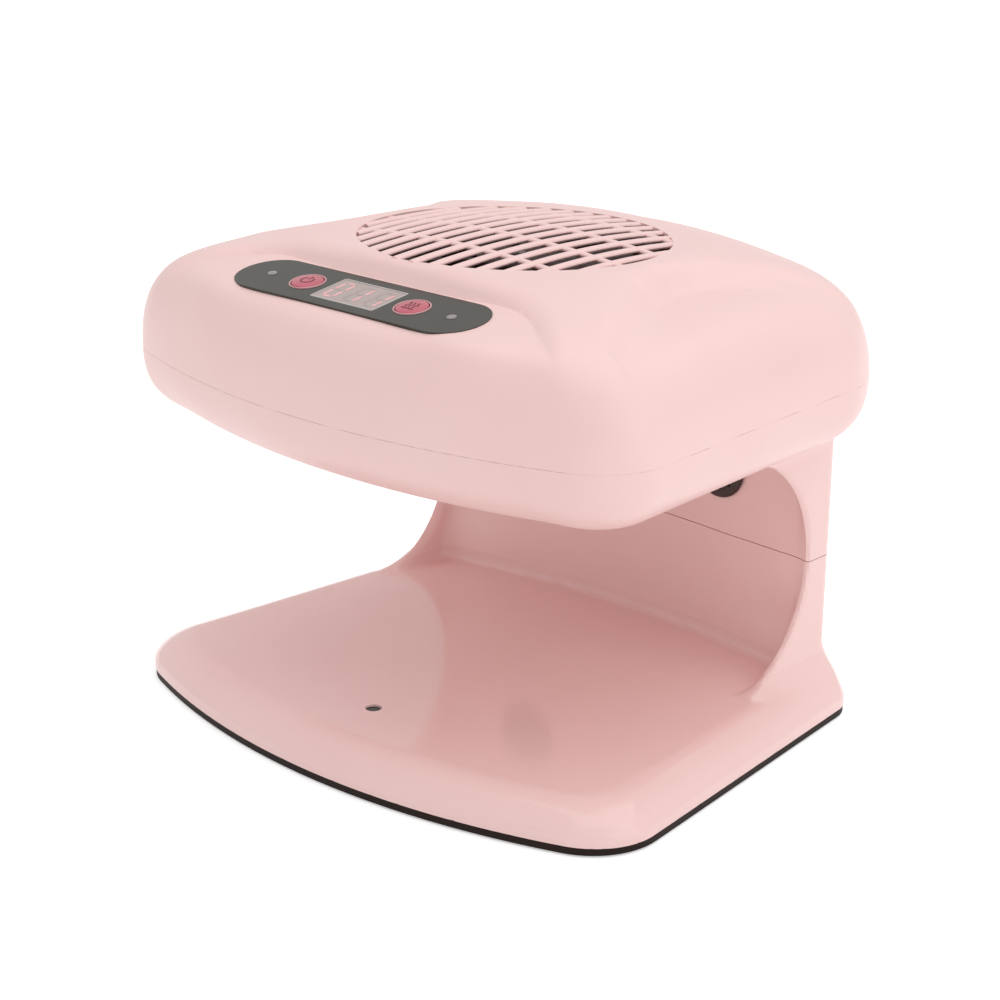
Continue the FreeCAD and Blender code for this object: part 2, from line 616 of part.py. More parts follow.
def crown_form(wall):
    """The raised crown with the domed round of the grille."""
    foot, top, inset = worth(SHOULDER) - size("crown_root"), worth(CROWN_TOP), size("crown_inset")
    half = size("crown_width") / 2
    sections = []
    for share in (0.0, 0.5, 1.0):
        step = wall + inset * share ** size("crown_power")
        corner = size("crown_corner") - step / 2
        z = foot + (top - foot) * share - wall
        plan = block(step - half, half - step,
                     size("head_front") + size("crown_front_step") + step,
                     size("head_rear") - size("crown_rear_step") - step, z, z + CLEAR)
        uprights = [edge for edge in plan.Edges
                    if abs(edge.Vertexes[0].Z - edge.Vertexes[1].Z) > 0.5]
        plan = plan.makeFillet(corner, uprights)
        sections.append(min(plan.Faces, key=lambda face: face.CenterOfMass.z).OuterWire)
    crown = Part.makeLoft(sections, True, False)
    radius, rise = size("grille_radius"), size("grille_rise")
    sphere_radius = (radius * radius + rise * rise) / (2 * rise)
    centre = Vector(0, size("grille_centre"), top + rise - sphere_radius - wall)
    dome = Part.makeSphere(sphere_radius, centre)
    return crown.fuse(dome.common(pillar(radius - wall, 0, centre.y, top - wall - size("crown_root"),
                                    top + rise)))


def in_panel(shape):
    """Move a shape made about the origin into the panel's tilted plane."""
    shape.Placement = Placement(Vector(0, worth(PANEL_Y), worth(PANEL_Z)),
                                Rotation(Vector(1, 0, 0), size("panel_tilt")))
    return shape


def stadium_block(length, width, z_low, z_high):
    radius = width / 2
    reach = length / 2 - radius
    middle = block(-reach, reach, -radius, radius, z_low, z_high)
    ends = [pillar(radius, -reach, 0, z_low, z_high), pillar(radius, reach, 0, z_low, z_high)]
    return middle.multiFuse(ends).removeSplitter()


def column_form(z_low, z_high, hollow_top):
    """The column between two heights, with its cheeks, arches and hollow."""
    half, inner = size("column_width") / 2, size("column_width") / 2 - size("cheek_wall")
    rear, rear_bow = worth(COLUMN_REAR), size("base_rear_bow")
    wall_bow = size("hand_wall_bow")
    wall_axis = size("hand_wall") - wall_bow
    start = size("arch_centre") + size("cheek_tip")
    tray, ceiling = size("tray_height"), size("head_underside")
    body = block(-half, half, start, rear + CLEAR, z_low, z_high)
    body = body.common(pillar(rear_bow, 0, rear - rear_bow, z_low, z_high))
    rear_edges = [edge for edge in body.Edges
                  if abs(edge.Vertexes[0].Z - edge.Vertexes[-1].Z) > 1
                  and edge.CenterOfMass.y > size("hand_wall")]
    body = body.makeFillet(size("column_corner"), rear_edges)
    cavity = block(-inner, inner, -FAR, rear, tray, ceiling)
    cavity = cavity.common(pillar(wall_bow, 0, wall_axis, tray, ceiling))
    body = body.cut(cavity)
    for side in (-1, 1):
        arch_axis = Vector(side * inner, size("arch_centre"), (tray + ceiling) / 2)
        arch = Part.makeCylinder(size("arch_radius"), FAR, arch_axis, Vector(side, 0, 0))
        body = body.cut(arch)
    return body.cut(column_hollow(z_low - CLEAR, hollow_top))


def column_hollow(z_low, z_high):
    wall, reach = size("shell_wall"), size("duct_half_width")
    rear, rear_bow = worth(COLUMN_REAR), size("base_rear_bow")
    wall_bow = size("hand_wall_bow")
    hollow = block(-reach, reach, 0, rear, z_low, z_high)
    hollow = hollow.common(pillar(rear_bow - wall, 0, rear - rear_bow, z_low, z_high))
    return hollow.cut(pillar(wall_bow + wall, 0, size("hand_wall") - wall_bow, z_low, z_high))


def column_bridge(side, z_low, z_high):
    """A solid web across the hollow, for a screw that joins the two casings."""
    half = size("boss_radius") + size("shell_wall")
    middle = side * size("bridge_x")
    rear, rear_bow = worth(COLUMN_REAR), size("base_rear_bow")
    wall_bow = size("hand_wall_bow")
    web = block(middle - half, middle + half, 0, rear, z_low, z_high)
    web = web.common(pillar(rear_bow - OVERLAP, 0, rear - rear_bow, z_low, z_high))
    return web.cut(pillar(wall_bow + OVERLAP, 0, size("hand_wall") - wall_bow, z_low, z_high))


# ---------------------------------------------------------------- places shared by pieces

BASE_SCREWS = [(side * x, y) for side in (-1, 1)
               for x, y in ((size("base_screw_x"), size("base_screw_front")),
                            (size("base_screw_rear_x"), size("base_screw_rear")))]
HEAD_SCREWS = [(side * size("head_screw_x"), y)
               for side in (-1, 1) for y in (size("head_screw_front"), size("head_screw_rear"))]
FEET = [(side * x, y) for side in (-1, 1)
        for x, y in ((size("foot_x"), size("foot_front")), (size("foot_rear_x"), size("foot_rear")))]
BRIDGE_Y = (bow_at(size("hand_wall"), size("hand_wall_bow"), size("bridge_x"))
            + bow_at(worth(COLUMN_REAR), size("base_rear_bow"), size("bridge_x"))) / 2
EARS = [(side * size("duct_ear_radius") * sin(pi / 4),
         size("grille_centre") + back * size("duct_ear_radius") * sin(pi / 4))
        for side in (-1, 1) for back in (-1, 1)]
PLATE_TOP = size("foot_gap") + size("bottom_thickness")
SHAFT_HOLE = size("screw_radius") + size("screw_clearance")
PAN_FLOOR = size("head_underside") + size("shell_wall")


# ---------------------------------------------------------------- casings

def make_bottom_plate():
    rim = outline(FOOT, size("bottom_inset"), size("foot_gap"))
    plate = Part.Face(rim).extrude(Vector(0, 0, size("bottom_thickness")))
    head = size("screw_head_height")
    tools = []
    for across, along in FEET:
        tools.append(pillar(size("foot_radius"), across, along, 0,
                            size("foot_gap") + size("foot_recess")))
    for across, along in BASE_SCREWS:
        tools.append(pillar(SHAFT_HOLE, across, along, 0, PLATE_TOP + CLEAR))
        tools.append(pillar(size("screw_head_radius") + size("screw_clearance"), across, along,
                            0, size("foot_gap") + head))
    solid_feature("bottom_plate", plate.cut(Part.makeCompound(tools)))


def make_base_shell():
    seam = size("seam_height") - size("seam_gap") / 2
    under_tray = size("tray_height") - size("shell_wall")
    shell = foot_form(0).cut(foot_form(size("shell_wall")))
    shell = shell.fuse(column_form(under_tray, seam, seam + CLEAR))
    shell = shell.cut(column_hollow(PLATE_TOP, seam + CLEAR))
    bosses = [pillar(size("boss_radius"), across, along, PLATE_TOP, under_tray + OVERLAP)
              for across, along in BASE_SCREWS]
    bosses += [column_bridge(side, seam - size("bridge_height"), seam) for side in (-1, 1)]
    shell = shell.multiFuse(bosses)
    tools = [pillar(SHAFT_HOLE, across, along, 0, under_tray)
             for across, along in BASE_SCREWS]
    tools += [pillar(SHAFT_HOLE, side * size("bridge_x"), BRIDGE_Y, PLATE_TOP, seam + CLEAR)
              for side in (-1, 1)]
    tools.append(pillar(size("sensor_hole"), 0, size("sensor_y"), 0, size("tray_height") + CLEAR))
    half = size("inlet_length") / 2 - size("inlet_rim") + size("fit_gap")
    rise = size("inlet_height") / 2 - size("inlet_rim") + size("fit_gap")
    rear = worth(COLUMN_REAR)
    tools.append(block(-half, half, rear - 2 * size("shell_wall"), rear + CLEAR,
                       size("inlet_z") - rise, size("inlet_z") + rise))
    solid_feature("base_shell", shell.cut(Part.makeCompound(tools)))


def vent_placement(side):
    """A vent sits square to the bowed wall behind the hand, facing the hand."""
    turn = asin(size("vent_x") / size("hand_wall_bow"))
    reach = size("hand_wall_bow") - size("vent_lift")
    base = Vector(side * reach * sin(turn),
                  size("hand_wall") - size("hand_wall_bow") + reach * cos(turn), size("vent_z"))
    yaw = Rotation(Vector(0, 0, 1), -side * degrees(turn))
    return Placement(base, yaw.multiply(Rotation(Vector(1, 0, 0), 90)))


def make_upper_body():
    wall, rim = size("shell_wall"), worth(PARTING)
    seam = size("seam_height") + size("seam_gap") / 2
    underside = size("head_underside")
    body = head_form(0, upper=False).cut(head_form(wall, upper=False))
    body = body.fuse(column_form(seam, PAN_FLOOR - OVERLAP, PAN_FLOOR + CLEAR))
    body = body.cut(column_hollow(seam - CLEAR, PAN_FLOOR + CLEAR))
    bosses = [pillar(size("boss_radius"), across, along, PAN_FLOOR - OVERLAP, rim)
              for across, along in HEAD_SCREWS]
    bosses += [pillar(size("boss_radius"), across, along, PAN_FLOOR - OVERLAP,
                      PAN_FLOOR + size("outlet_flange_thickness")) for across, along in EARS]
    bosses += [column_bridge(side, seam, seam + size("bridge_height")) for side in (-1, 1)]
    for side in (-1, 1):
        edge = side * (size("power_board_length") / 2 - size("guide_width") / 2)
        board_y = size("power_board_y")
        guide = block(edge - size("guide_width") / 2, edge + size("guide_width") / 2,
                      board_y - size("guide_wall"),
                      board_y + size("board_thickness") + size("guide_wall"),
                      PAN_FLOOR - OVERLAP, PAN_FLOOR + size("guide_height"))
        bosses.append(guide)
    body = body.multiFuse(bosses)
    tools = [block(-FAR, FAR, -FAR, FAR, rim - size("seam_gap"), rim + CLEAR)]
    for across, along in HEAD_SCREWS:
        tools.append(pillar(SHAFT_HOLE, across, along, underside, rim))
        tools.append(pillar(size("screw_head_radius") + size("well_gap"), across, along,
                            underside - CLEAR, underside + size("head_screw_sink")))
    tools += [pillar(SHAFT_HOLE, across, along, underside + size("blind_floor"), rim)
              for across, along in EARS]
    tools += [pillar(SHAFT_HOLE, side * size("bridge_x"), BRIDGE_Y, seam - CLEAR,
                     seam + size("bridge_height") - size("screw_end_gap")) for side in (-1, 1)]
    tools += [pillar(size(radius), 0, size(along), underside - CLEAR, PAN_FLOOR + CLEAR)
              for radius, along in (("outlet_radius", "grille_centre"), ("sensor_hole", "sensor_y"))]
    board_half = size("power_board_length") / 2 + size("fit_gap")
    tools.append(block(-board_half, board_half, size("power_board_y") - size("fit_gap"),
                       size("power_board_y") + size("board_thickness") + size("fit_gap"),
                       PAN_FLOOR + size("board_lift"), rim))
    for side in (-1, 1):
        hole = pillar(size("vent_radius") - size("vent_rim"), 0, 0,
                      -3 * size("vent_depth"), size("vent_depth"))
        hole.Placement = vent_placement(side)
        tools.append(hole)
    solid_feature("upper_body", body.cut(Part.makeCompound(tools)))


def grille_slots():
    """Slots parallel to Y inside the circle, bridged by cross ribs."""
    radius, centre = size("grille_radius") - size("grille_edge"), size("grille_centre")
    pitch, width = size("slot_pitch"), size("slot_width")
    low = worth(SHOULDER) - size("crown_root")
    high = worth(CROWN_TOP) + 2 * size("grille_rise")
    bars = []
    count = int(radius / pitch)
    for index in range(-count, count + 1):
        x = index * pitch
        reach = sqrt(max(radius ** 2 - (abs(x) + width / 2) ** 2, 0))
        if reach > width:
            bars.append(block(x - width / 2, x + width / 2, centre - reach, centre + reach,
                              low, high))
    ribs = [block(-radius, radius, y - size("rib_width") / 2, y + size("rib_width") / 2, low, high)
            for y in (size("rib_middle") + step * size("rib_pitch") for step in (-1, 0, 1, 2))]
    return Part.makeCompound(bars).cut(Part.makeCompound(ribs))


def make_top_shell():
    wall, parting = size("shell_wall"), worth(PARTING)
    outer = head_form(0, upper=True)
    tilt_point = Vector(0, size("grille_centre") - size("grille_radius"), worth(CROWN_TOP))
    crown, crown_hollow, slots = crown_form(0), crown_form(wall), grille_slots()
    for shape in (crown, crown_hollow, slots):
        shape.rotate(tilt_point, Vector(1, 0, 0), -size("crown_tilt"))
    length, width, margin = size("panel_length"), size("panel_width"), size("panel_margin")
    flare, depth = size("visor_flare"), size("visor_depth")
    lower = stadium_wire(length + 2 * margin + 2 * flare, width + 2 * margin + 2 * flare, -depth)
    visor = in_panel(Part.makeLoft([lower, stadium_wire(length + 2 * margin,
                                                        width + 2 * margin, 0)], True, True))
    outer = outer.fuse(crown).fuse(visor)
    shell = outer.cut(head_form(wall, upper=True)).cut(crown_hollow)
    posts = [pillar(size("boss_radius"), across, along, parting, worth(CROWN_TOP)).common(outer)
             for across, along in HEAD_SCREWS]
    depth = size("board_depth")
    for side in (-1, 1):
        for back in (-1, 1):
            posts.append(in_panel(pillar(size("board_post_radius"), side * size("board_post_x"),
                                         back * size("board_post_y"), -depth,
                                         -size("board_post_root"))))
    shell = shell.multiFuse(posts)
    gap = size("fit_gap")
    hole_radius = size("button_radius") + size("button_gap")
    well_radius = size("button_radius") + size("button_flange") + size("button_gap")
    length, width = size("panel_length") + 2 * gap, size("panel_width") + 2 * gap
    tools = [stadium_block(length, width, -size("panel_recess"), size("visor_depth"))]
    half, rise = size("window_length") / 2 + gap, size("window_width") / 2 + gap
    tools.append(block(-half, half, -rise, rise, -depth, 0))
    half, rise = size("module_length") / 2 + 2 * gap, size("module_width") / 2 + 2 * gap
    tools.append(block(-half, half, -rise, rise, -depth, gap - size("window_depth")))
    for side in (-1, 1):
        across = side * size("button_x")
        tools.append(pillar(hole_radius, across, 0, -depth, 0))
        tools.append(pillar(well_radius, across, 0, -depth, size("button_gap") - size("flange_depth")))
        tools.append(pillar(size("lamp_radius") + gap, side * size("lamp_x"), 0, -depth, 0))
        for back in (-1, 1):
            tools.append(pillar(SHAFT_HOLE, side * size("board_post_x"),
                                back * size("board_post_y"), -depth,
                                -size("board_post_root") - wall / 2))
    shell = shell.cut(in_panel(Part.makeCompound(tools)))
    top_of_screw = size("head_underside") + size("head_screw_sink") + size("head_screw_length")
    holes = [pillar(SHAFT_HOLE, across, along, parting - CLEAR, top_of_screw + size("screw_end_gap"))
             for across, along in HEAD_SCREWS]
    solid_feature("top_shell", shell.cut(Part.makeCompound(holes)).cut(slots))


def stadium_wire(length, width, z):
    radius = width / 2
    reach = length / 2 - radius
    left, right = Vector(-reach, 0, z), Vector(reach, 0, z)
    up, out = Vector(0, radius, 0), Vector(radius, 0, 0)
    edges = [Part.LineSegment(left - up, right - up).toShape(),
             Part.Arc(right - up, right + out, right + up).toShape(),
             Part.LineSegment(right + up, left + up).toShape(),
             Part.Arc(left + up, left - out, left - up).toShape()]
    return Part.Wire(edges)


# ---------------------------------------------------------------- feet and screws

def make_feet():
    feet = [primitive("Cylinder", f"foot_{index}", Radius="sizes.foot_radius - sizes.fit_gap",
                      Height="sizes.foot_gap + sizes.foot_recess", x=across, y=along, z="0")
            for index, (across, along) in enumerate(FEET, start=1)]
    compound("rubber_feet", feet)


def make_screws():
    head = "sizes.screw_head_height"
    screws("base_screws", BASE_SCREWS, f"sizes.foot_gap + {head}",
           "sizes.tray_height - sizes.shell_wall - sizes.foot_gap - sizes.screw_head_height"
           " - sizes.screw_end_gap")
    screws("column_screws", [(side * size("bridge_x"), BRIDGE_Y) for side in (-1, 1)],
           "sizes.seam_height - sizes.bridge_height - sizes.seam_gap / 2",
           "2 * sizes.bridge_height - 2 * sizes.screw_end_gap")
    screws("head_screws", HEAD_SCREWS, "sizes.head_underside + sizes.head_screw_sink",
           "sizes.head_screw_length")
    ear_top = ("sizes.head_underside + sizes.shell_wall + sizes.outlet_flange_thickness"
               " + sizes.ear_thickness")
    screws("duct_screws", EARS, ear_top, "sizes.ear_thickness + sizes.outlet_flange_thickness"
           " + sizes.shell_wall - sizes.blind_floor - sizes.screw_end_gap / 2", downwards=True)
    motor = [(f"{side} * sizes.motor_screw_x", "sizes.grille_centre") for side in (-1, 1)]
    screws("motor_screws", motor, f"{SEAT} - sizes.motor_plate",
           "sizes.motor_plate + sizes.end_cap_thickness")
    board = [(f"{side} * sizes.board_post_x", f"{back} * sizes.board_post_y")
             for side in (-1, 1) for back in (-1, 1)]
    place_on_panel(screws("board_screws", board, "-sizes.board_depth - sizes.board_thickness",
                          "sizes.board_thickness + sizes.board_screw_bite"))


# ---------------------------------------------------------------- control panel

def make_panel():
    body = place_on_panel(new_body("control_panel"))
    face = new_sketch(body, "panel_face", lift="-sizes.panel_recess")
    draw_stadium(face, "sizes.panel_length", "sizes.panel_width")
    pad(body, face, "panel_sheet", "sizes.panel_thickness")
    openings = new_sketch(body, "panel_openings", lift="-sizes.panel_recess")
    draw_rectangle(openings, "sizes.window_length + 2 * sizes.fit_gap",
                   "sizes.window_width + 2 * sizes.fit_gap")
    for side in (-1, 1):
        draw_circle(openings, "sizes.button_radius + sizes.button_gap",
                    across=f"{side} * sizes.button_x")
        draw_circle(openings, "sizes.lamp_radius + sizes.fit_gap", across=f"{side} * sizes.lamp_x")
    pocket_up(body, openings, "panel_cuts", "sizes.panel_thickness")

    top = "sizes.panel_thickness - sizes.panel_recess"
    for side, name in ((-1, "power_button"), (1, "heat_button")):
        bezel = place_on_panel(new_body(f"{name}_ring"), f"{side} * sizes.button_x")
        ring = new_sketch(bezel, f"{name}_ring_face", lift=top)
        draw_circle(ring, "sizes.button_radius + sizes.button_gap + sizes.bezel_width")
        draw_circle(ring, "sizes.button_radius + sizes.button_gap")
        pad(bezel, ring, f"{name}_ring_pad", "sizes.bezel_height")

        button = place_on_panel(new_body(name), f"{side} * sizes.button_x")
        flange = "-sizes.flange_depth"
        stem = ("-sizes.board_depth + sizes.switch_height + sizes.plunger_height"
                " + sizes.button_travel + sizes.press_gap")
        outer = "sizes.button_radius + sizes.button_flange"
        edge = "sizes.button_height - sizes.button_round"
        revolve(button, f"{name}_cap",
                [("0", stem), ("sizes.stem_radius", stem),
                 ("sizes.stem_radius", f"{flange} - sizes.flange_thickness"),
                 (outer, f"{flange} - sizes.flange_thickness"), (outer, flange),
                 ("sizes.button_radius", flange), ("sizes.button_radius", edge),
                 ("sizes.button_radius - sizes.button_round", "sizes.button_height"),
                 ("0", "sizes.button_height")])

    window = place_on_panel(new_body("display_window"))
    glass = new_sketch(window, "window_face", lift="sizes.window_lift - sizes.window_depth")
    draw_rectangle(glass, "sizes.window_length", "sizes.window_width")
    pad(window, glass, "window_pad", "sizes.window_depth")

    module = primitive("Box", "module_box", Length="sizes.module_length",
                       Width="sizes.module_width", Height="sizes.board_depth - sizes.window_depth")
    keep(module, "display_module")
    place_on_panel(module)
    tilt = "sizes.panel_tilt"
    bind(module, x="-sizes.module_length / 2",
         y=f"{PANEL_Y} - sizes.module_width / 2 * cos({tilt}) + sizes.board_depth * sin({tilt})",
         z=f"{PANEL_Z} - sizes.module_width / 2 * sin({tilt}) - sizes.board_depth * cos({tilt})")


def make_lamps():
    lamps = []
    for side in (-1, 1):
        across = f"{side} * sizes.lamp_x"
        stem = primitive("Cylinder", f"lamp_body_{side + 2}", Radius="sizes.lamp_radius",
                         Height="sizes.board_depth - sizes.fit_gap", x=across,
                         z="-sizes.board_depth")
        dome = primitive("Sphere", f"lamp_dome_{side + 2}", Radius="sizes.lamp_radius", x=across,
                         z="-sizes.fit_gap")
        lamps.append(fuse(f"lamp_{side + 2}", [stem, dome]))
    place_on_panel(compound("indicator_lamps", lamps))


def make_control_board():
    body = place_on_panel(new_body("control_board"))
    face = new_sketch(body, "board_face", lift="-sizes.board_depth - sizes.board_thickness")
    draw_rectangle(face, "sizes.board_length", "sizes.board_width")
    for side in (-1, 1):
        for back in (-1, 1):
            draw_circle(face, "sizes.screw_radius + sizes.screw_clearance",
                        across=f"{side} * sizes.board_post_x", up=f"{back} * sizes.board_post_y")
    pad(body, face, "board_sheet", "sizes.board_thickness")

    switches = []
    for side in (-1, 1):
        across = f"{side} * sizes.button_x"
        case = primitive("Box", f"switch_case_{side + 2}", Length="sizes.switch_size",
                         Width="sizes.switch_size", Height="sizes.switch_height",
                         x=f"{across} - sizes.switch_size / 2", y="-sizes.switch_size / 2",
                         z="-sizes.board_depth")
        plunger = primitive("Cylinder", f"switch_plunger_{side + 2}",
                            Radius="sizes.plunger_radius",
                            Height="sizes.switch_height + sizes.plunger_height", x=across,
                            z="-sizes.board_depth")
        switches.append(fuse(f"switch_{side + 2}", [case, plunger]))
    place_on_panel(compound("push_switches", switches))


# ---------------------------------------------------------------- fan, motor and heater

def on_fan_axis(name):
    return bind(new_body(name), y="sizes.grille_centre")


def make_fan_duct():
    body = on_fan_axis("fan_duct")
    body.Placement = Placement(Vector(), Rotation(Vector(0, 0, 1), 45))
    inner, outer = "sizes.duct_radius", "sizes.duct_radius + sizes.duct_wall"
    revolve(body, "duct_ring", [(inner, DUCT_LOW), (outer, DUCT_LOW),
                                (outer, DUCT_TOP), (inner, DUCT_TOP)])
    doc.recompute()
    ear = new_sketch(body, "duct_ear", lift=DUCT_LOW)
    reach = "sizes.duct_ear_radius + sizes.boss_radius"
    draw_rectangle(ear, f"{reach} - {outer} + sizes.duct_wall / 2", "2 * sizes.boss_radius",
                   across=f"({reach} + {outer} - sizes.duct_wall / 2) / 2")
    draw_circle(ear, "sizes.screw_radius + sizes.screw_clearance", across="sizes.duct_ear_radius")
    polar(body, pad(body, ear, "ear_pad", "sizes.ear_thickness"), "ears", 4)
    low = f"{SEAT} - sizes.motor_plate"
    hub = new_sketch(body, "motor_disc", lift=low)
    draw_circle(hub, "sizes.motor_radius + sizes.motor_plate_margin")
    draw_circle(hub, "sizes.bush_radius")
    pad(body, hub, "motor_disc_pad", "sizes.motor_plate")
    doc.recompute()
    arm = new_sketch(body, "motor_arm", lift=low)
    draw_rectangle(arm, "sizes.duct_radius + sizes.duct_wall / 2 - sizes.motor_radius",
                   "sizes.arm_width",
                   across="(sizes.duct_radius + sizes.duct_wall / 2 + sizes.motor_radius) / 2")
    polar(body, pad(body, arm, "arm_pad", "sizes.motor_plate"), "arms", 3)
    doc.recompute()
    holes = new_sketch(body, "motor_screw_holes", lift=low)
    for side in (-1, 1):
        across = f"{side} * sizes.motor_screw_x * cos(45)"
        draw_circle(holes, "sizes.screw_radius + sizes.screw_clearance", across=across,
                    up=f"{-side} * sizes.motor_screw_x * cos(45)")
    body.Tip = pocket_up(body, holes, "motor_screw_cut", "sizes.motor_plate")


def make_motor():
    outer = "sizes.motor_radius"
    inner = "sizes.motor_radius - sizes.motor_wall"
    bush, bore = "sizes.bush_radius", "sizes.shaft_radius + sizes.shaft_clearance"
    under_top = f"{CAN_TOP} - sizes.motor_wall"
    housing = f"{bush} + sizes.bush_housing"
    revolve(on_fan_axis("motor_can"), "can", [
        (inner, SEAT), (outer, SEAT), (outer, CAN_TOP), (housing, CAN_TOP),
        (housing, BUSH_TOP), (bush, BUSH_TOP), (bush, under_top), (inner, under_top)])

    cap = on_fan_axis("motor_end_cap")
    cap_top = f"{SEAT} + sizes.end_cap_thickness"
    revolve(cap, "cap", [
        (bush, SEAT), (inner, SEAT), (inner, cap_top), (housing, cap_top),
        (housing, f"{SEAT} + sizes.bush_length"), (bush, f"{SEAT} + sizes.bush_length")])
    holes = new_sketch(cap, "cap_holes", lift=SEAT)
    for side in (-1, 1):
        draw_circle(holes, "sizes.screw_radius + sizes.screw_clearance",
                    across=f"{side} * sizes.motor_screw_x")
    pocket_up(cap, holes, "cap_screw_cut", "sizes.end_cap_thickness")

    bushes = []
    for name, low in (("lower", SEAT), ("upper", under_top)):
        sleeve = primitive("Cylinder", f"{name}_bush_sleeve", Radius=bush,
                           Height="sizes.bush_length", y="sizes.grille_centre", z=low)
        hole = primitive("Cylinder", f"{name}_bush_bore", Radius=bore,
                         Height="sizes.bush_length", y="sizes.grille_centre", z=low)
        bushes.append(cut(f"{name}_bush", sleeve, hole))
    compound("shaft_bushes", bushes)

    magnet_low = f"{SEAT} + sizes.bush_length + sizes.magnet_end_gap"
    magnet_high = f"{CAN_TOP} - sizes.motor_wall - sizes.magnet_end_gap"
    magnet_inner = f"{inner} - sizes.magnet_thickness"
    revolve(on_fan_axis("magnet_ring"), "magnet", [
        (magnet_inner, magnet_low), (inner, magnet_low), (inner, magnet_high),
        (magnet_inner, magnet_high)])
    core = f"{magnet_inner} - sizes.magnet_gap"
    revolve(on_fan_axis("armature"), "core", [
        ("sizes.shaft_radius", magnet_low), (core, magnet_low), (core, magnet_high),
        ("sizes.shaft_radius", magnet_high)])
    revolve(on_fan_axis("motor_shaft"), "shaft", [
        ("0", SEAT), ("sizes.shaft_radius", SEAT),
        ("sizes.shaft_radius", SHAFT_TOP), ("0", SHAFT_TOP)])


def make_fan():
    body = on_fan_axis("fan")
    revolve(body, "hub", [
        ("sizes.shaft_radius", HUB_LOW), ("sizes.hub_radius", HUB_LOW),
        ("sizes.hub_radius", f"{HUB_TOP} - sizes.hub_round"),
        ("sizes.hub_radius - sizes.hub_round", HUB_TOP), ("sizes.shaft_radius", HUB_TOP)])
    doc.recompute()
    blade = new_sketch(body, "blade_section", "YZ_Plane", lift="sizes.hub_radius - sizes.blade_root")
    pitch = "sizes.blade_pitch"
    half_z = "(sizes.hub_height / 2 - sizes.blade_margin)"
    half_y = f"{half_z} * cos({pitch}) / sin({pitch})"
    thick_y, thick_z = (f"sizes.blade_thickness / 2 * sin({pitch})",
                        f"sizes.blade_thickness / 2 * cos({pitch})")
    middle = f"{HUB_LOW} + sizes.hub_height / 2"
    draw_polygon(blade, [
        (f"-{half_y} + {thick_y}", f"{middle} - {half_z} - {thick_z}"),
        (f"{half_y} + {thick_y}", f"{middle} + {half_z} - {thick_z}"),
        (f"{half_y} - {thick_y}", f"{middle} + {half_z} + {thick_z}"),
        (f"-{half_y} - {thick_y}", f"{middle} - {half_z} + {thick_z}")])
    first = pad(body, blade, "blade", "sizes.fan_radius - sizes.hub_radius + sizes.blade_root")
    polar(body, first, "blades", int(size("blade_count")))

    revolve(on_fan_axis("shaft_clip"), "clip", [
        ("sizes.shaft_radius", HUB_TOP), ("sizes.bush_radius", HUB_TOP),
        ("sizes.bush_radius", f"{HUB_TOP} + sizes.clip_thickness"),
        ("sizes.shaft_radius", f"{HUB_TOP} + sizes.clip_thickness")])


def make_heater():
    low = HEATER_LOW
    span = "2 * (sizes.duct_radius - sizes.mica_gap)"
    thick = "sizes.mica_thickness"
    along_x = primitive("Box", "mica_along_x", Length=span, Width=thick,
                        Height="sizes.heater_height", x=f"-({span}) / 2",
                        y=f"sizes.grille_centre - {thick} / 2", z=low)
    along_y = primitive("Box", "mica_along_y", Length=thick, Width=span,
                        Height="sizes.heater_height", x=f"-{thick} / 2",
                        y=f"sizes.grille_centre - ({span}) / 2", z=low)
    keep(fuse("mica_cross", [along_x, along_y]), "heater_frame")
    top = f"{low} + sizes.heater_height"
    rings = [primitive("Torus", f"ring_{index}",
                       Radius1=f"sizes.coil_radius - {index} * sizes.coil_pitch",
                       Radius2="sizes.coil_wire", y="sizes.grille_centre",
                       z=f"{top} + sizes.coil_wire") for index in range(3)]
    compound("heating_rings", rings)

    side = "sizes.grille_centre + sizes.mica_thickness / 2"
    disc = primitive("Cylinder", "thermostat_disc", Radius="sizes.thermostat_radius",
                     Height="sizes.thermostat_depth")
    disc.Placement = Placement(Vector(), Rotation(Vector(1, 0, 0), -90))
    bind(disc, x="sizes.thermostat_x", y=side, z=f"{low} + sizes.heater_height / 2")
    keep(disc, "thermostat")
    link = primitive("Cylinder", "fuse_body", Radius="sizes.fuse_radius",
                     Height="sizes.fuse_length")
    link.Placement = Placement(Vector(), Rotation(Vector(0, 1, 0), 90))
    bind(link, x="-sizes.fuse_x", y=f"{side} + sizes.fuse_radius",
         z=f"{low} + sizes.heater_height / 2")
    keep(link, "thermal_fuse")


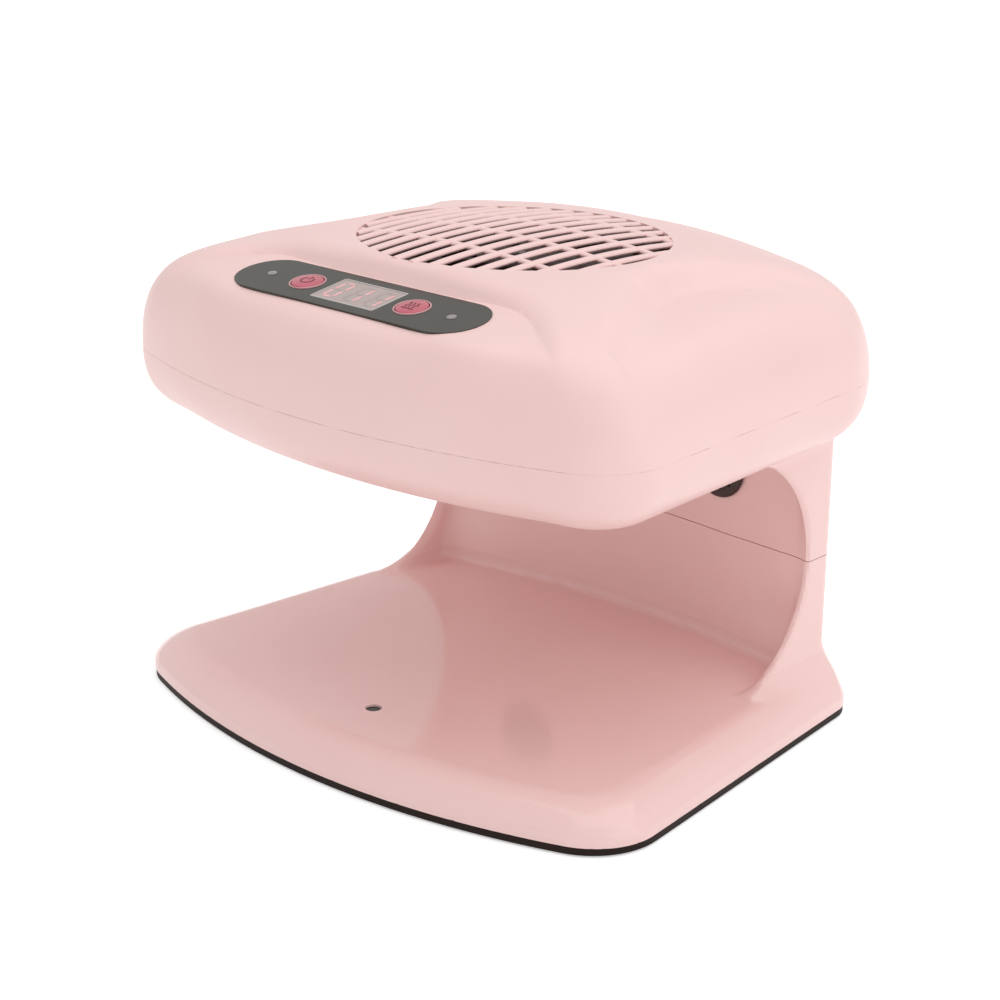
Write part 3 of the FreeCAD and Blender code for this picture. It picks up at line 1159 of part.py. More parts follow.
def make_outlet_grille():
    floor = "sizes.head_underside + sizes.shell_wall"
    low = "sizes.head_underside + sizes.outlet_sink"
    height = f"{floor} + sizes.outlet_flange_thickness - ({low})"
    plug = primitive("Cylinder", "outlet_plug", Radius="sizes.outlet_radius - sizes.outlet_gap",
                     Height=height, y="sizes.grille_centre", z=low)
    flange = primitive("Cylinder", "outlet_rim",
                       Radius="sizes.outlet_radius + sizes.outlet_flange",
                       Height="sizes.outlet_flange_thickness", y="sizes.grille_centre", z=floor)
    pitch = "sizes.outlet_slot_pitch"
    width = "sizes.outlet_slot_width"
    count = int((size("outlet_radius") - size("outlet_slot_pitch")) / size("outlet_slot_pitch"))
    slots = []
    for index in range(-count, count + 1):
        for back in (-1, 1):
            along = ("sizes.grille_centre" if back > 0 else "sizes.grille_centre - sizes.outlet_radius")
            shift = "sizes.outlet_rib / 2" if back > 0 else "-sizes.outlet_rib / 2"
            slots.append(primitive("Box", f"outlet_slot_{index + count}_{back + 2}", Length=width,
                                   Width="sizes.outlet_radius", Height=f"{height} + {2 * CLEAR}",
                                   x=f"{index} * {pitch} - {width} / 2", y=f"{along} + {shift}",
                                   z=f"{low} - {CLEAR}"))
    round_area = primitive("Cylinder", "outlet_open_area",
                           Radius="sizes.outlet_radius - sizes.outlet_edge",
                           Height=f"{height} + {2 * CLEAR}", y="sizes.grille_centre",
                           z=f"{low} - {CLEAR}")
    openings = doc.addObject("Part::MultiCommon", "outlet_openings")
    openings.Shapes = [fuse("outlet_slots", slots), round_area]
    keep(cut("outlet_cut", fuse("outlet_disc", [plug, flange]), openings), "outlet_grille")


# ---------------------------------------------------------------- sensor, vents and power

def make_sensor():
    under_tray = "sizes.tray_height - sizes.shell_wall"
    lens = "sizes.sensor_hole - sizes.sensor_gap"
    rim = "sizes.sensor_hole + sizes.lens_rim"
    emitter = bind(new_body("sensor_emitter"), y="sizes.sensor_y")
    revolve(emitter, "emitter_lens", [
        ("0", f"{under_tray} - sizes.lens_flange"), (rim, f"{under_tray} - sizes.lens_flange"),
        (rim, under_tray), (lens, under_tray), (lens, "sizes.tray_height - sizes.lens_sink"),
        ("0", "sizes.tray_height - sizes.lens_sink")])
    floor = "sizes.head_underside + sizes.shell_wall"
    receiver = bind(new_body("sensor_receiver"), y="sizes.sensor_y")
    revolve(receiver, "receiver_lens", [
        ("0", "sizes.head_underside + sizes.lens_sink"),
        (lens, "sizes.head_underside + sizes.lens_sink"), (lens, floor), (rim, floor),
        (rim, f"{floor} + sizes.lens_flange"), ("0", f"{floor} + sizes.lens_flange")])
    for name, low in (("emitter_board", f"{under_tray} - sizes.lens_flange - sizes.board_thickness"),
                      ("receiver_board", f"{floor} + sizes.lens_flange")):
        board = primitive("Box", f"{name}_box", Length="sizes.sensor_board",
                          Width="sizes.sensor_board", Height="sizes.board_thickness",
                          x="-sizes.sensor_board / 2", y="sizes.sensor_y - sizes.sensor_board / 2",
                          z=low)
        keep(board, name)


def make_vents():
    for side, name in ((-1, "left_vent"), (1, "right_vent")):
        body = new_body(name)
        body.Placement = vent_placement(side)
        plug = "sizes.vent_radius - sizes.vent_rim - sizes.fit_gap"
        rim, thick = "sizes.vent_radius", "sizes.vent_rim_thickness"
        inside = f"{plug} - sizes.vent_tube_wall"
        back = "-sizes.vent_depth"
        revolve(body, f"{name}_disc", [
            ("0", back), (plug, back), (plug, "0"), (rim, "0"),
            (rim, f"{thick} / 2"), (f"{rim} - {thick} / 2", thick), (inside, thick), (inside, "0"),
            ("0", "0")])
        doc.recompute()
        slot = new_sketch(body, f"{name}_slots", lift=back)
        for index in (-2, -1, 0, 1, 2):
            length = f"2 * ({inside} - sizes.vent_slot_margin) - {abs(index)} * sizes.vent_slot_taper"
            draw_rectangle(slot, length, "sizes.vent_slot_width",
                           up=f"{index} * sizes.vent_slot_pitch")
        pocket_up(body, slot, f"{name}_cut", "sizes.vent_depth")


def make_inlet():
    rear, middle = COLUMN_REAR, "sizes.inlet_z"
    length, height, rim = "sizes.inlet_length", "sizes.inlet_height", "sizes.inlet_rim"
    face = primitive("Box", "inlet_face", Length=length, Width="sizes.inlet_face_thickness",
                     Height=height, x=f"-{length} / 2", y=rear, z=f"{middle} - {height} / 2")
    body = primitive("Box", "inlet_body", Length=f"{length} - 2 * {rim}",
                     Width="sizes.inlet_depth", Height=f"{height} - 2 * {rim}",
                     x=f"-{length} / 2 + {rim}", y=f"{rear} - sizes.inlet_depth",
                     z=f"{middle} - {height} / 2 + {rim}")
    socket_depth = "(sizes.inlet_depth - sizes.inlet_back)"
    sockets = [primitive("Cylinder", f"inlet_socket_{side + 2}", Radius="sizes.socket_radius",
                         Height=f"sizes.inlet_depth + {CLEAR}") for side in (-1, 1)]
    pins = [primitive("Cylinder", f"inlet_pin_{side + 2}", Radius="sizes.pin_radius",
                      Height=f"{socket_depth} - sizes.pin_sink") for side in (-1, 1)]
    for side, socket, pin in zip((-1, 1), sockets, pins):
        for piece in (socket, pin):
            piece.Placement = Placement(Vector(), Rotation(Vector(1, 0, 0), -90))
            bind(piece, x=f"{side} * sizes.pin_spacing / 2", y=f"{rear} - {socket_depth}", z=middle)
    slit = primitive("Box", "inlet_slit", Length="sizes.pin_spacing",
                     Width=f"sizes.inlet_depth + {CLEAR}", Height="sizes.socket_radius",
                     x="-sizes.pin_spacing / 2", y=f"{rear} - {socket_depth}",
                     z=f"{middle} - sizes.socket_radius / 2")
    keep(cut("inlet_cut", fuse("inlet_block", [face, body]), fuse("inlet_hollow", sockets + [slit])),
         "power_inlet")
    compound("inlet_pins", pins)


def make_power_board():
    face = "sizes.power_board_y + sizes.board_thickness"
    low = "sizes.head_underside + sizes.shell_wall + sizes.board_lift"
    board = primitive("Box", "power_board_sheet", Length="sizes.power_board_length",
                      Width="sizes.board_thickness", Height="sizes.power_board_height",
                      x="-sizes.power_board_length / 2", y="sizes.power_board_y", z=low)
    keep(board, "power_board")
    core = primitive("Box", "transformer_core", Length="sizes.transformer_length",
                     Width="sizes.transformer_depth", Height="sizes.transformer_height",
                     x="-sizes.power_board_length / 2 + sizes.transformer_inset", y=face,
                     z=f"{low} + sizes.component_lift")
    keep(core, "transformer")
    tank = primitive("Cylinder", "capacitor_can", Radius="sizes.capacitor_radius",
                     Height="sizes.capacitor_length")
    tank.Placement = Placement(Vector(), Rotation(Vector(1, 0, 0), -90))
    bind(tank, x="sizes.power_board_length / 2 - sizes.capacitor_inset", y=face,
         z=f"{low} + sizes.component_lift + sizes.capacitor_radius")
    keep(tank, "capacitor")
    relay = primitive("Box", "relay_case", Length="sizes.relay_length", Width="sizes.relay_depth",
                      Height="sizes.relay_height", y=face, z=f"{low} + sizes.component_lift",
                      x="sizes.power_board_length / 2 - sizes.relay_inset - sizes.relay_length")
    keep(relay, "heater_relay")


def bent_tube(points, radius, bend):
    """A round lead along straight runs joined by tangent arcs."""
    edges, start = [], points[0]
    for before, corner, after in zip(points, points[1:], points[2:]):
        into, out = (corner - before).normalize(), (after - corner).normalize()
        half_turn = into.getAngle(out) / 2
        reach = bend * sin(half_turn) / cos(half_turn)
        first, last = corner - into * reach, corner + out * reach
        inward = (out - into).normalize()
        middle = corner + inward * (bend / cos(half_turn) - bend)
        edges.append(Part.LineSegment(start, first).toShape())
        edges.append(Part.Arc(first, middle, last).toShape())
        start = last
    edges.append(Part.LineSegment(start, points[-1]).toShape())
    path = Part.Wire(edges)
    section = Part.Wire(Part.makeCircle(radius, points[0], points[1] - points[0]))
    return path.makePipeShell([section], True, False)


def make_leads():
    radius, bend = size("lead_radius"), size("lead_bend")
    board_face = size("power_board_y") + size("board_thickness")
    join_z = PAN_FLOOR + size("board_lift") + size("component_lift") / 2
    sensor_z = (size("tray_height") - size("shell_wall") - size("lens_flange")
                - size("board_thickness") / 2)
    across, drop, sensor_y = size("harness_x"), size("harness_y"), size("sensor_y")
    harness = bent_tube([Vector(across, board_face, join_z), Vector(across, drop, join_z),
                         Vector(across, drop, sensor_z), Vector(across, sensor_y, sensor_z),
                         Vector(size("sensor_board") / 2, sensor_y, sensor_z)], radius, bend)
    solid_feature("sensor_lead", harness)
    inlet_top = size("inlet_z") + size("inlet_height") / 2 - size("inlet_rim")
    rise_y = worth(COLUMN_REAR) - size("inlet_depth") / 2 - size("shell_wall") / 2
    mains = bent_tube([Vector(0, rise_y, inlet_top), Vector(0, rise_y, join_z),
                       Vector(0, board_face, join_z)], radius, bend)
    solid_feature("mains_lead", mains)


# ---------------------------------------------------------------- build, check and write

make_bottom_plate()
make_base_shell()
make_upper_body()
make_top_shell()
make_feet()
make_screws()
make_panel()
make_lamps()
make_control_board()
make_fan_duct()
make_motor()
make_fan()
make_heater()
make_outlet_grille()
make_sensor()
make_vents()
make_inlet()
make_power_board()
make_leads()
doc.recompute()

for thing in doc.Objects:
    if {"Invalid", "Error"} & set(thing.State):
        raise RuntimeError(f"{thing.Name} failed: {thing.State}")
os.makedirs("parts", exist_ok=True)
for node in nodes:
    if node.Shape.isNull() or not node.Shape.isValid() or not node.Shape.Solids:
        raise RuntimeError(f"{node.Label} has no valid solid")
    node.Shape.exportStep(os.path.join("parts", f"{node.Label}.step"))
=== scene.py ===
import json
from functools import reduce
from math import asin, cos, pi, radians, sin, sqrt, tan

import bmesh
import bpy
import numpy as np
from bpy.props import (FloatProperty, FloatVectorProperty, IntProperty, PointerProperty,
                       StringProperty)
from mathutils import Matrix, Vector


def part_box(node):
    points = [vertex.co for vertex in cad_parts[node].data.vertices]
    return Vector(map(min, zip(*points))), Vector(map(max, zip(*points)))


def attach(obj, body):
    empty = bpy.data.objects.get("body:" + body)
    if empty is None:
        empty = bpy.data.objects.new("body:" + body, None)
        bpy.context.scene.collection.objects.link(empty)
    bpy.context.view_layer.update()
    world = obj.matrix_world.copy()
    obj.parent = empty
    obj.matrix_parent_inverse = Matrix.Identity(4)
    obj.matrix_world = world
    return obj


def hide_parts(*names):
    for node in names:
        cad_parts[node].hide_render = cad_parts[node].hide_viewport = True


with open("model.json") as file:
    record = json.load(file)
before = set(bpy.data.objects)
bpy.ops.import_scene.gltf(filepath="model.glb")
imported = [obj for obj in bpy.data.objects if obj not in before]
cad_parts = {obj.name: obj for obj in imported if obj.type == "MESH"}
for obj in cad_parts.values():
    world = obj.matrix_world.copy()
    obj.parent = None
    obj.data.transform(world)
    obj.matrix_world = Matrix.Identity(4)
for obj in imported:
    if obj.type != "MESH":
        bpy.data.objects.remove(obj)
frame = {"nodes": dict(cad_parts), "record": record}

bl_info = {
    "name": "Nail polish fan dryer",
    "version": (1, 0, 0),
    "blender": (4, 5, 0),
    "location": "View3D > Sidebar > Dryer",
    "description": "Dresses the packed nail polish fan dryer and sets its stage",
    "category": "Object",
}

NODES = frame["nodes"]
SLOT_OF = {part["node"]: part["material_slot"] for part in frame["record"]["subparts"]}
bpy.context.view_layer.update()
MM = 0.001
MATH = "ShaderNodeMath"


def srgb(code):
    """The four linear values of a hex colour."""
    parts = [int(code[i:i + 2], 16) / 255 for i in (1, 3, 5)]
    return tuple(v / 12.92 if v <= 0.04045 else ((v + 0.055) / 1.055) ** 2.4
                 for v in parts) + (1.0,)


# ---------------------------------------------------------------- node building

def add(tree, kind, links=(), **settings):
    """Add a node with its settings.

    links gives its inputs, by name or in their order. Each is a value, another node's output,
    or another node, which stands for its first output.
    """
    node = tree.nodes.new(kind)
    for key, value in settings.items():
        setattr(node, key, value)
    for key, value in links.items() if isinstance(links, dict) else enumerate(links):
        if isinstance(value, bpy.types.Node):
            value = value.outputs[0]
        if isinstance(value, bpy.types.NodeSocket):
            tree.links.new(value, node.inputs[key])
        else:
            node.inputs[key].default_value = value
    return node


def blank_material(name):
    material = bpy.data.materials.new(name)
    material.use_nodes = True
    material.node_tree.nodes.clear()
    return material, material.node_tree


def speckled(tree, place, colour, other, scale):
    """A colour that drifts between two tones on a noise of the given scale, and its share."""
    noise = add(tree, "ShaderNodeTexNoise", {
        "Vector": place, "Scale": scale, "Detail": 3.0, "Roughness": 0.6})
    share = add(tree, "ShaderNodeMapRange", {
        "Value": noise.outputs["Fac"], "From Min": 0.25, "From Max": 0.75})
    mix = add(tree, "ShaderNodeMix", {0: share, 6: colour, 7: other}, data_type="RGBA")
    return mix.outputs[2], share.outputs["Result"]


def bumped(tree, place, length, depth, under=None):
    """The normal of a surface lifted by a noise of that length and depth, both in mm."""
    noise = add(tree, "ShaderNodeTexNoise", {
        "Vector": place, "Scale": 1 / (length * MM), "Detail": 2.0})
    links = {"Height": noise.outputs["Fac"], "Distance": depth * MM, "Strength": 1.0}
    if under is not None:
        links["Normal"] = under
    return add(tree, "ShaderNodeBump", links).outputs["Normal"]


# ---------------------------------------------------------------- finishes

def plastic(name, colour, other, roughness, drift, sink, grain, sink_depth, grain_depth,
            ior=1.53, specular=0.5, polish=None):
    """Plastic from a mould: a near even colour, slow sink marks and a fine skin.

    Lengths are in mm. Where polish is given, it is a height and the roughness below it.
    """
    material, tree = blank_material(name)
    place = add(tree, "ShaderNodeTexCoord").outputs["Object"]
    tone, share = speckled(tree, place, colour, other, 1 / (drift * MM))
    rough = add(tree, "ShaderNodeMapRange", {
        "Value": share, "To Min": roughness * 0.92, "To Max": roughness * 1.1})
    if polish:
        height = add(tree, "ShaderNodeSeparateXYZ", (place,)).outputs["Z"]
        rough = add(tree, "ShaderNodeMapRange", {
            "Value": height, "From Min": polish[0] * MM,
            "From Max": (polish[0] + POLISH_FADE) * MM, "To Min": polish[1], "To Max": rough})
    normal = bumped(tree, place, grain, grain_depth, bumped(tree, place, sink, sink_depth))
    shader = add(tree, "ShaderNodeBsdfPrincipled", {
        "Base Color": tone, "Roughness": rough, "IOR": ior, "Specular IOR Level": specular,
        "Normal": normal})
    add(tree, "ShaderNodeOutputMaterial", (shader,))
    return material


def metal(name, colour, other, roughness, grain, stretch=(1, 1, 1), depth=0.003):
    """A metal whose fine scratches or grain, in mm, run along one direction."""
    material, tree = blank_material(name)
    place = add(tree, "ShaderNodeTexCoord").outputs["Object"]
    run = add(tree, "ShaderNodeMapping", {"Vector": place, "Scale": stretch}).outputs["Vector"]
    tone, share = speckled(tree, run, colour, other, 1 / (grain * MM))
    rough = add(tree, "ShaderNodeMapRange", {
        "Value": share, "To Min": roughness * 0.8, "To Max": roughness * 1.25})
    shader = add(tree, "ShaderNodeBsdfPrincipled", {
        "Base Color": tone, "Roughness": rough, "Metallic": 1.0,
        "Normal": bumped(tree, run, grain, depth)})
    add(tree, "ShaderNodeOutputMaterial", (shader,))
    return material


def lit_film(name, colour, other, drift, strength):
    """An emitting film under a display's lens; drift is in mm."""
    material, tree = blank_material(name)
    place = add(tree, "ShaderNodeTexCoord").outputs["Object"]
    tone, _ = speckled(tree, place, colour, other, 1 / (drift * MM))
    shader = add(tree, "ShaderNodeBsdfPrincipled", {
        "Base Color": tone, "Roughness": 0.4, "Emission Color": colour,
        "Emission Strength": strength})
    add(tree, "ShaderNodeOutputMaterial", (shader,))
    return material


POLYCARBONATE, EPOXY = {"ior": 1.585}, {"ior": 1.55}
POLISH_ABOVE, POLISH_FADE = 1.5, 6.0    # mm over the tray where its polish starts to fade, and
                                        # how far it takes to end

# Plastics and what else isn't metal. Each has its name, colour and second tone, its roughness,
# then in mm the lengths of the colour's drift, the sink marks and the skin's grain, the depths
# of the last two, and where they aren't the usual ones its index and specular level.
PLASTICS = {
    # even pale pink, its satin skin spreads the lamps wide, its polished tray mirrors the wall
    "pink_abs": ("satin moulded ABS, pale pink", "#F9D5D1", "#F7D1CD", 0.36, 60, 45, 1.2, 0.02,
                 0.0006),
    # a dark line under the foot that hardly shines
    "dark_base": ("satin moulded ABS, dark brown", "#241A17", "#2C211E", 0.5, 25, 20, 0.8, 0.02,
                  0.006, {"specular": 0.1}),
    # dull grey with a soft tooth
    "foot_rubber": ("moulded silicone rubber", "#4A4645", "#3E3A3A", 0.7, 6, 8, 0.6, 0.02, 0.02),
    # printed from behind: deep grey olive under a clear smooth face
    "black_panel": ("printed polycarbonate sheet, grey black", "#38352F", "#3F3C35", 0.16, 12,
                    30, 0.7, 0.01, 0.001, {**POLYCARBONATE, "specular": 0.22}),
    # deep rose with a bright small highlight on its dome
    "button_rose": ("glossy moulded ABS, rose", "#CB6271", "#C25A69", 0.22, 5, 6, 0.5, 0.01,
                    0.001),
    # a pale thin ring that sets the button off from the panel
    "button_rim": ("satin moulded ABS, pale rose", "#D9A3A6", "#CF979B", 0.3, 5, 6, 0.5, 0.01,
                   0.001),
    # pale grey rose, flat and shiny
    "display_lens": ("tinted polycarbonate lens", "#B9A7A3", "#B09E9B", 0.12, 14, 20, 0.9, 0.01,
                     0.0005, POLYCARBONATE),
    # matt dark lines on the glossy caps
    "sign_ink": ("pad-printed ink, dark rose", "#6E2734", "#7A2E3C", 0.5, 2, 3, 0.3, 0.002,
                 0.001),
    # bars that only just show in the lens
    "display_unlit": ("unlit display bars", "#AE9E9A", "#A99994", 0.3, 2, 3, 0.3, 0.002, 0.001),
    # a chalky pale grey edge round the lens
    "display_case": ("filled epoxy display housing", "#BDB6B2", "#C9C2BE", 0.5, 4, 6, 0.4, 0.01,
                     0.004),
    # milky grey while the lamps are off
    "lamp_lens": ("diffused epoxy lamp lens", "#9A9492", "#8E8886", 0.2, 2, 3, 0.3, 0.005,
                  0.001, EPOXY),
    # nearly black, like a drop of dark glass
    "dark_lens": ("infrared black polycarbonate", "#1F1412", "#291C19", 0.12, 3, 5, 0.4, 0.004,
                  0.0006, {**POLYCARBONATE, "specular": 0.3}),
    # lacquer: leaf green, softly shiny
    "board_green": ("solder masked circuit board, green", "#2E6B45", "#285E3D", 0.35, 3, 8, 0.5,
                    0.01, 0.006),
    # tan, dull and a little fibrous
    "board_brown": ("phenolic paper circuit board, brown", "#9A6B3C", "#87592F", 0.5, 2, 8, 0.4,
                    0.01, 0.01),
    # small black cases with a faint sheen
    "switch_case": ("moulded nylon, black", "#2A2A2C", "#323235", 0.42, 2, 4, 0.3, 0.005,
                    0.006),
    # cream with a faint sheen
    "cap_plastic": ("moulded nylon, cream", "#D9D0BC", "#CFC5AF", 0.42, 4, 6, 0.4, 0.005,
                    0.006),
    # charcoal ceramic, mottled and dull
    "ferrite": ("sintered ferrite magnet", "#3B3B3D", "#2C2C2E", 0.62, 1, 4, 0.3, 0.01, 0.012),
    # dark blades whose leading edges catch a soft light; their dark brown is partly the fan's own
    # colour and partly painted shade, darkening what shows through the grille's slots
    "fan_plastic": ("moulded polypropylene, dark brown", "#3E2724", "#462D2A", 0.4, 8, 12, 0.6,
                    0.015, 0.004),
    # a dark well behind the slots: the dark brown is partly the duct's own plastic and partly
    # painted shade of the head's inside, seen through the grille
    "duct_plastic": ("moulded polycarbonate, dark brown", "#3A2522", "#422B28", 0.45, 10, 14,
                     0.7, 0.015, 0.006),
    # pale sheet speckled with brown flakes about a millimetre across
    "mica": ("mica sheet, flaky", "#C9BE9F", "#A8956E", 0.45, 1.1, 3, 0.5, 0.01, 0.01),
    # dark louvres and a dark inlet in the pale walls
    "vent_plastic": ("satin moulded ABS, dark brown", "#34201D", "#3C2723", 0.4, 6, 9, 0.6,
                     0.01, 0.004, {"specular": 0.35}),
    # a plain blue case
    "relay_case": ("moulded polyester relay case, blue", "#2F5E9B", "#2A5590", 0.4, 4, 6, 0.5,
                   0.01, 0.004),
    # supple grey skin with a dull shine
    "lead_sleeve": ("extruded PVC sleeve, grey", "#77736F", "#6C6864", 0.45, 3, 5, 0.5, 0.01,
                    0.006),
}

# Each metal: its name, colour and second tone, its roughness, the length of its grain in mm,
# how the grain is stretched along X, Y and Z, and its depth in mm. They keep the default IOR.
METALS = {
    # bluish bright plating
    "zinc_screw": ("zinc plated steel screw", "#B9BBBE", "#A3A6AB", 0.32, 0.6),
    # fine lines along its length, near a mirror
    "steel_shaft": ("ground steel shaft", "#C6C7CA", "#B4B6BA", 0.18, 0.25, (1, 1, 0.1), 0.001),
    # thin dark and light layers, one on another
    "steel_core": ("laminated silicon steel", "#8C8A88", "#6E6C6A", 0.45, 0.5, (0.02, 0.02, 1),
                   0.02),
    # the same layers side by side, browned by varnish
    "transformer_core": ("laminated core steel, varnished", "#8A8078", "#635A53", 0.4, 0.5,
                         (1, 0.02, 0.02), 0.02),
    # draw marks up the can's side
    "motor_steel": ("drawn plated steel can", "#BFC0C2", "#ABADB0", 0.28, 0.5, (1, 1, 0.06),
                    0.002),
    # grainy brown gold, dull with oil
    "bronze_bush": ("sintered bronze", "#B5854B", "#9A6E3B", 0.45, 0.3, (1, 1, 1), 0.006),
    # grey brown scale from the heat
    "heating_wire": ("nickel chrome wire, oxidised", "#7E7672", "#5E5652", 0.42, 0.4, (1, 1, 1),
                     0.004),
    # soft even silver
    "thermostat_shell": ("pressed aluminium shell", "#C4C5C6", "#B3B4B6", 0.33, 0.5),
    # warm bright silver, drawn along the pins
    "nickel_pin": ("nickel plated brass pin", "#CFCBC0", "#BFBAAC", 0.22, 0.5, (1, 0.1, 1),
                   0.001),
    # draw marks along the can
    "can_aluminium": ("drawn aluminium can", "#C9CACC", "#B8BABD", 0.3, 0.5, (1, 0.06, 1),
                      0.002),
}

# A weak red film: pale rose bars that stand out a little from the lens.
DIGITS = ("lit display segments", srgb("#E0A9A9"), srgb("#C98F90"), 2.0, 0.3)

MATERIALS = {}


def make_materials(look):
    """Every finish of the dryer, with the colours that the settings choose."""
    chosen = {"pink_abs": (tuple(look.casing), tuple(look.casing_drift)),
              "black_panel": (tuple(look.panel), tuple(look.panel_drift)),
              "button_rose": (tuple(look.button), tuple(look.button_drift))}
    for slot, (name, colour, other, rough, *sizes) in PLASTICS.items():
        extra = sizes.pop() if isinstance(sizes[-1], dict) else {}
        if slot == "pink_abs":
            rough, extra = look.gloss, {"polish": (FLOOR + POLISH_ABOVE, look.tray_gloss)}
        tones = chosen.get(slot, (srgb(colour), srgb(other)))
        MATERIALS[slot] = plastic(name, *tones, rough, *sizes, **extra)
    for slot, (name, colour, other, *sizes) in METALS.items():
        MATERIALS[slot] = metal(name, srgb(colour), srgb(other), *sizes)
    MATERIALS["digits"] = lit_film(*DIGITS)


# ---------------------------------------------------------------- surfaces from fields

def union(*fields):
    """What lies in any of the fields; a field is negative inside."""
    return reduce(np.minimum, fields)


def common(*fields):
    """What lies in all of the fields. With minus a field, that field is cut away."""
    return reduce(np.maximum, fields)


def soft_min(a, b, radius):
    """Union of two fields whose inner corner is rounded to a radius."""
    gap = a - b
    round_part = (a + b + np.sqrt(np.maximum(2 * radius * radius - gap * gap, 0))) / 2 - radius
    return np.where(np.abs(gap) < radius, round_part, np.minimum(a, b))


def soft_max(a, b, radius):
    """Common part of two fields whose outer corner is rounded to a radius."""
    return -soft_min(-a, -b, radius)


def ramp(value, low, high):
    """0 below low, 1 above high, smooth between."""
    t = np.clip((value - low) / (high - low), 0, 1)
    return t * t * (3 - 2 * t)


def slab(value, middle, half):
    """What lies within half a thickness of a middle."""
    return np.abs(value - middle) - half


def rod(x, y, radius, at=(0.0, 0.0)):
    """An endless round bar about a place."""
    return np.hypot(x - at[0], y - at[1]) - radius


def stadium(x, y, length, width):
    """A bar with round ends, along X."""
    return np.hypot(np.maximum(np.abs(x) - (length - width) / 2, 0), y) - width / 2


def crossings(field, axes, values, axis, step):
    """Where the surface crosses the grid lines along an axis, and the four cells round each."""
    inside = values < 0
    shape = np.array(inside.shape) - 1
    first, second = [slice(None)] * 3, [slice(None)] * 3
    first[axis], second[axis] = slice(None, -1), slice(1, None)
    first, second = tuple(first), tuple(second)
    where = np.argwhere(inside[first] != inside[second])
    away = [other for other in range(3) if other != axis]
    where = where[np.all([(where[:, o] > 0) & (where[:, o] < shape[o]) for o in away], axis=0)]
    start, end = values[first][tuple(where.T)], values[second][tuple(where.T)]
    near = np.stack([axes[k][where[:, k]] for k in range(3)], 1).astype(float)
    share_low, share_high = np.zeros(len(where)), np.ones(len(where))
    value_low, value_high = start.copy(), end.copy()
    for _ in range(4):
        share = share_low + (share_high - share_low) * np.clip(
            value_low / (value_low - value_high), 0.03, 0.97)
        probe = near.copy()
        probe[:, axis] += share * step
        value = field(*probe.T)
        same = np.sign(value) == np.sign(value_low)
        share_low = np.where(same, share, share_low)
        value_low = np.where(same, value, value_low)
        share_high = np.where(same, share_high, share)
        value_high = np.where(same, value_high, value)
    near[:, axis] += step * (
        share_low + (share_high - share_low) * value_low / (value_low - value_high))
    u, v = ((1, 2), (2, 0), (0, 1))[axis]
    corners = []
    for du, dv in ((-1, -1), (0, -1), (0, 0), (-1, 0)):
        cell = where.copy()
        cell[:, u] += du
        cell[:, v] += dv
        corners.append((cell[:, 0] * shape[1] + cell[:, 1]) * shape[2] + cell[:, 2])
    corners = np.stack(corners, 1)
    corners[start > 0] = corners[start > 0][:, ::-1]
    return near, corners


def tangents(field, points, nudge=0.02):
    """The field's unit normals at the points."""
    slopes = []
    for axis in range(3):
        ahead, behind = points.copy(), points.copy()
        ahead[:, axis] += nudge
        behind[:, axis] -= nudge
        slopes.append(field(*ahead.T) - field(*behind.T))
    normals = np.stack(slopes, 1)
    return normals / np.maximum(np.linalg.norm(normals, axis=1, keepdims=True), 1e-9)


def contour(name, field, low, high, step, levels=(-1e3, 1e3)):
    """A closed mesh of the surface where the field is zero, with its sharp edges kept.

    Each crossed cell gets the point that lies best on the tangent planes of its crossings.
    Each crossed grid line gives a face of four such points.
    """
    axes = [np.arange(a, b + step, step) for a, b in zip(low, high)]
    values = field(axes[0][:, None, None], axes[1][None, :, None], axes[2][None, None, :])
    found = [crossings(field, axes, values, axis, step) for axis in range(3)]
    quads = np.concatenate([corners for _, corners in found])
    cells = np.concatenate([corners.T.ravel() for _, corners in found])
    points = np.concatenate([np.tile(hits, (4, 1)) for hits, _ in found])
    normals = tangents(field, points)
    names, index = np.unique(cells, return_inverse=True)
    count = np.bincount(index)
    middle = np.stack([np.bincount(index, points[:, k]) for k in range(3)], 1) / count[:, None]
    offset = np.einsum("ij,ij->i", normals, points - middle[index])
    square = np.empty((len(names), 3, 3))
    side = np.empty((len(names), 3))
    for i in range(3):
        side[:, i] = np.bincount(index, normals[:, i] * offset)
        for j in range(3):
            square[:, i, j] = np.bincount(index, normals[:, i] * normals[:, j])
    square += np.eye(3) * 0.05 * count[:, None, None] / 4
    shift = np.linalg.solve(square, side[:, :, None])[:, :, 0]
    place = middle + np.clip(shift, -step, step)
    place[:, 2] = np.clip(place[:, 2], *levels)
    order = np.searchsorted(names, quads)
    mesh = bpy.data.meshes.new(name)
    mesh.vertices.add(len(place))
    mesh.vertices.foreach_set("co", (place * MM).astype(np.float32).ravel())
    mesh.loops.add(4 * len(order))
    mesh.loops.foreach_set("vertex_index", order.astype(np.int32).ravel())
    mesh.polygons.add(len(order))
    mesh.polygons.foreach_set("loop_start", np.arange(0, 4 * len(order), 4, dtype=np.int32))
    mesh.update(calc_edges=True)
    mesh.validate()
    return mesh


# ---------------------------------------------------------------- the dryer's sizes, in mm

FLOOR, CEILING = 16.5, 108.0            # tray and the head's underside
PLATE_TOP = 3.4                         # where the foot stands on the bottom plate
PARTING, SEAM, SEAM_GAP = 134.0, 61.0, 0.3
PARTING_GAP = 0.02                      # what the eye sees of the parting's lap joint
TOP_WALL, HEAD_WALL, FOOT_WALL = 3.6, 4.0, 2.5

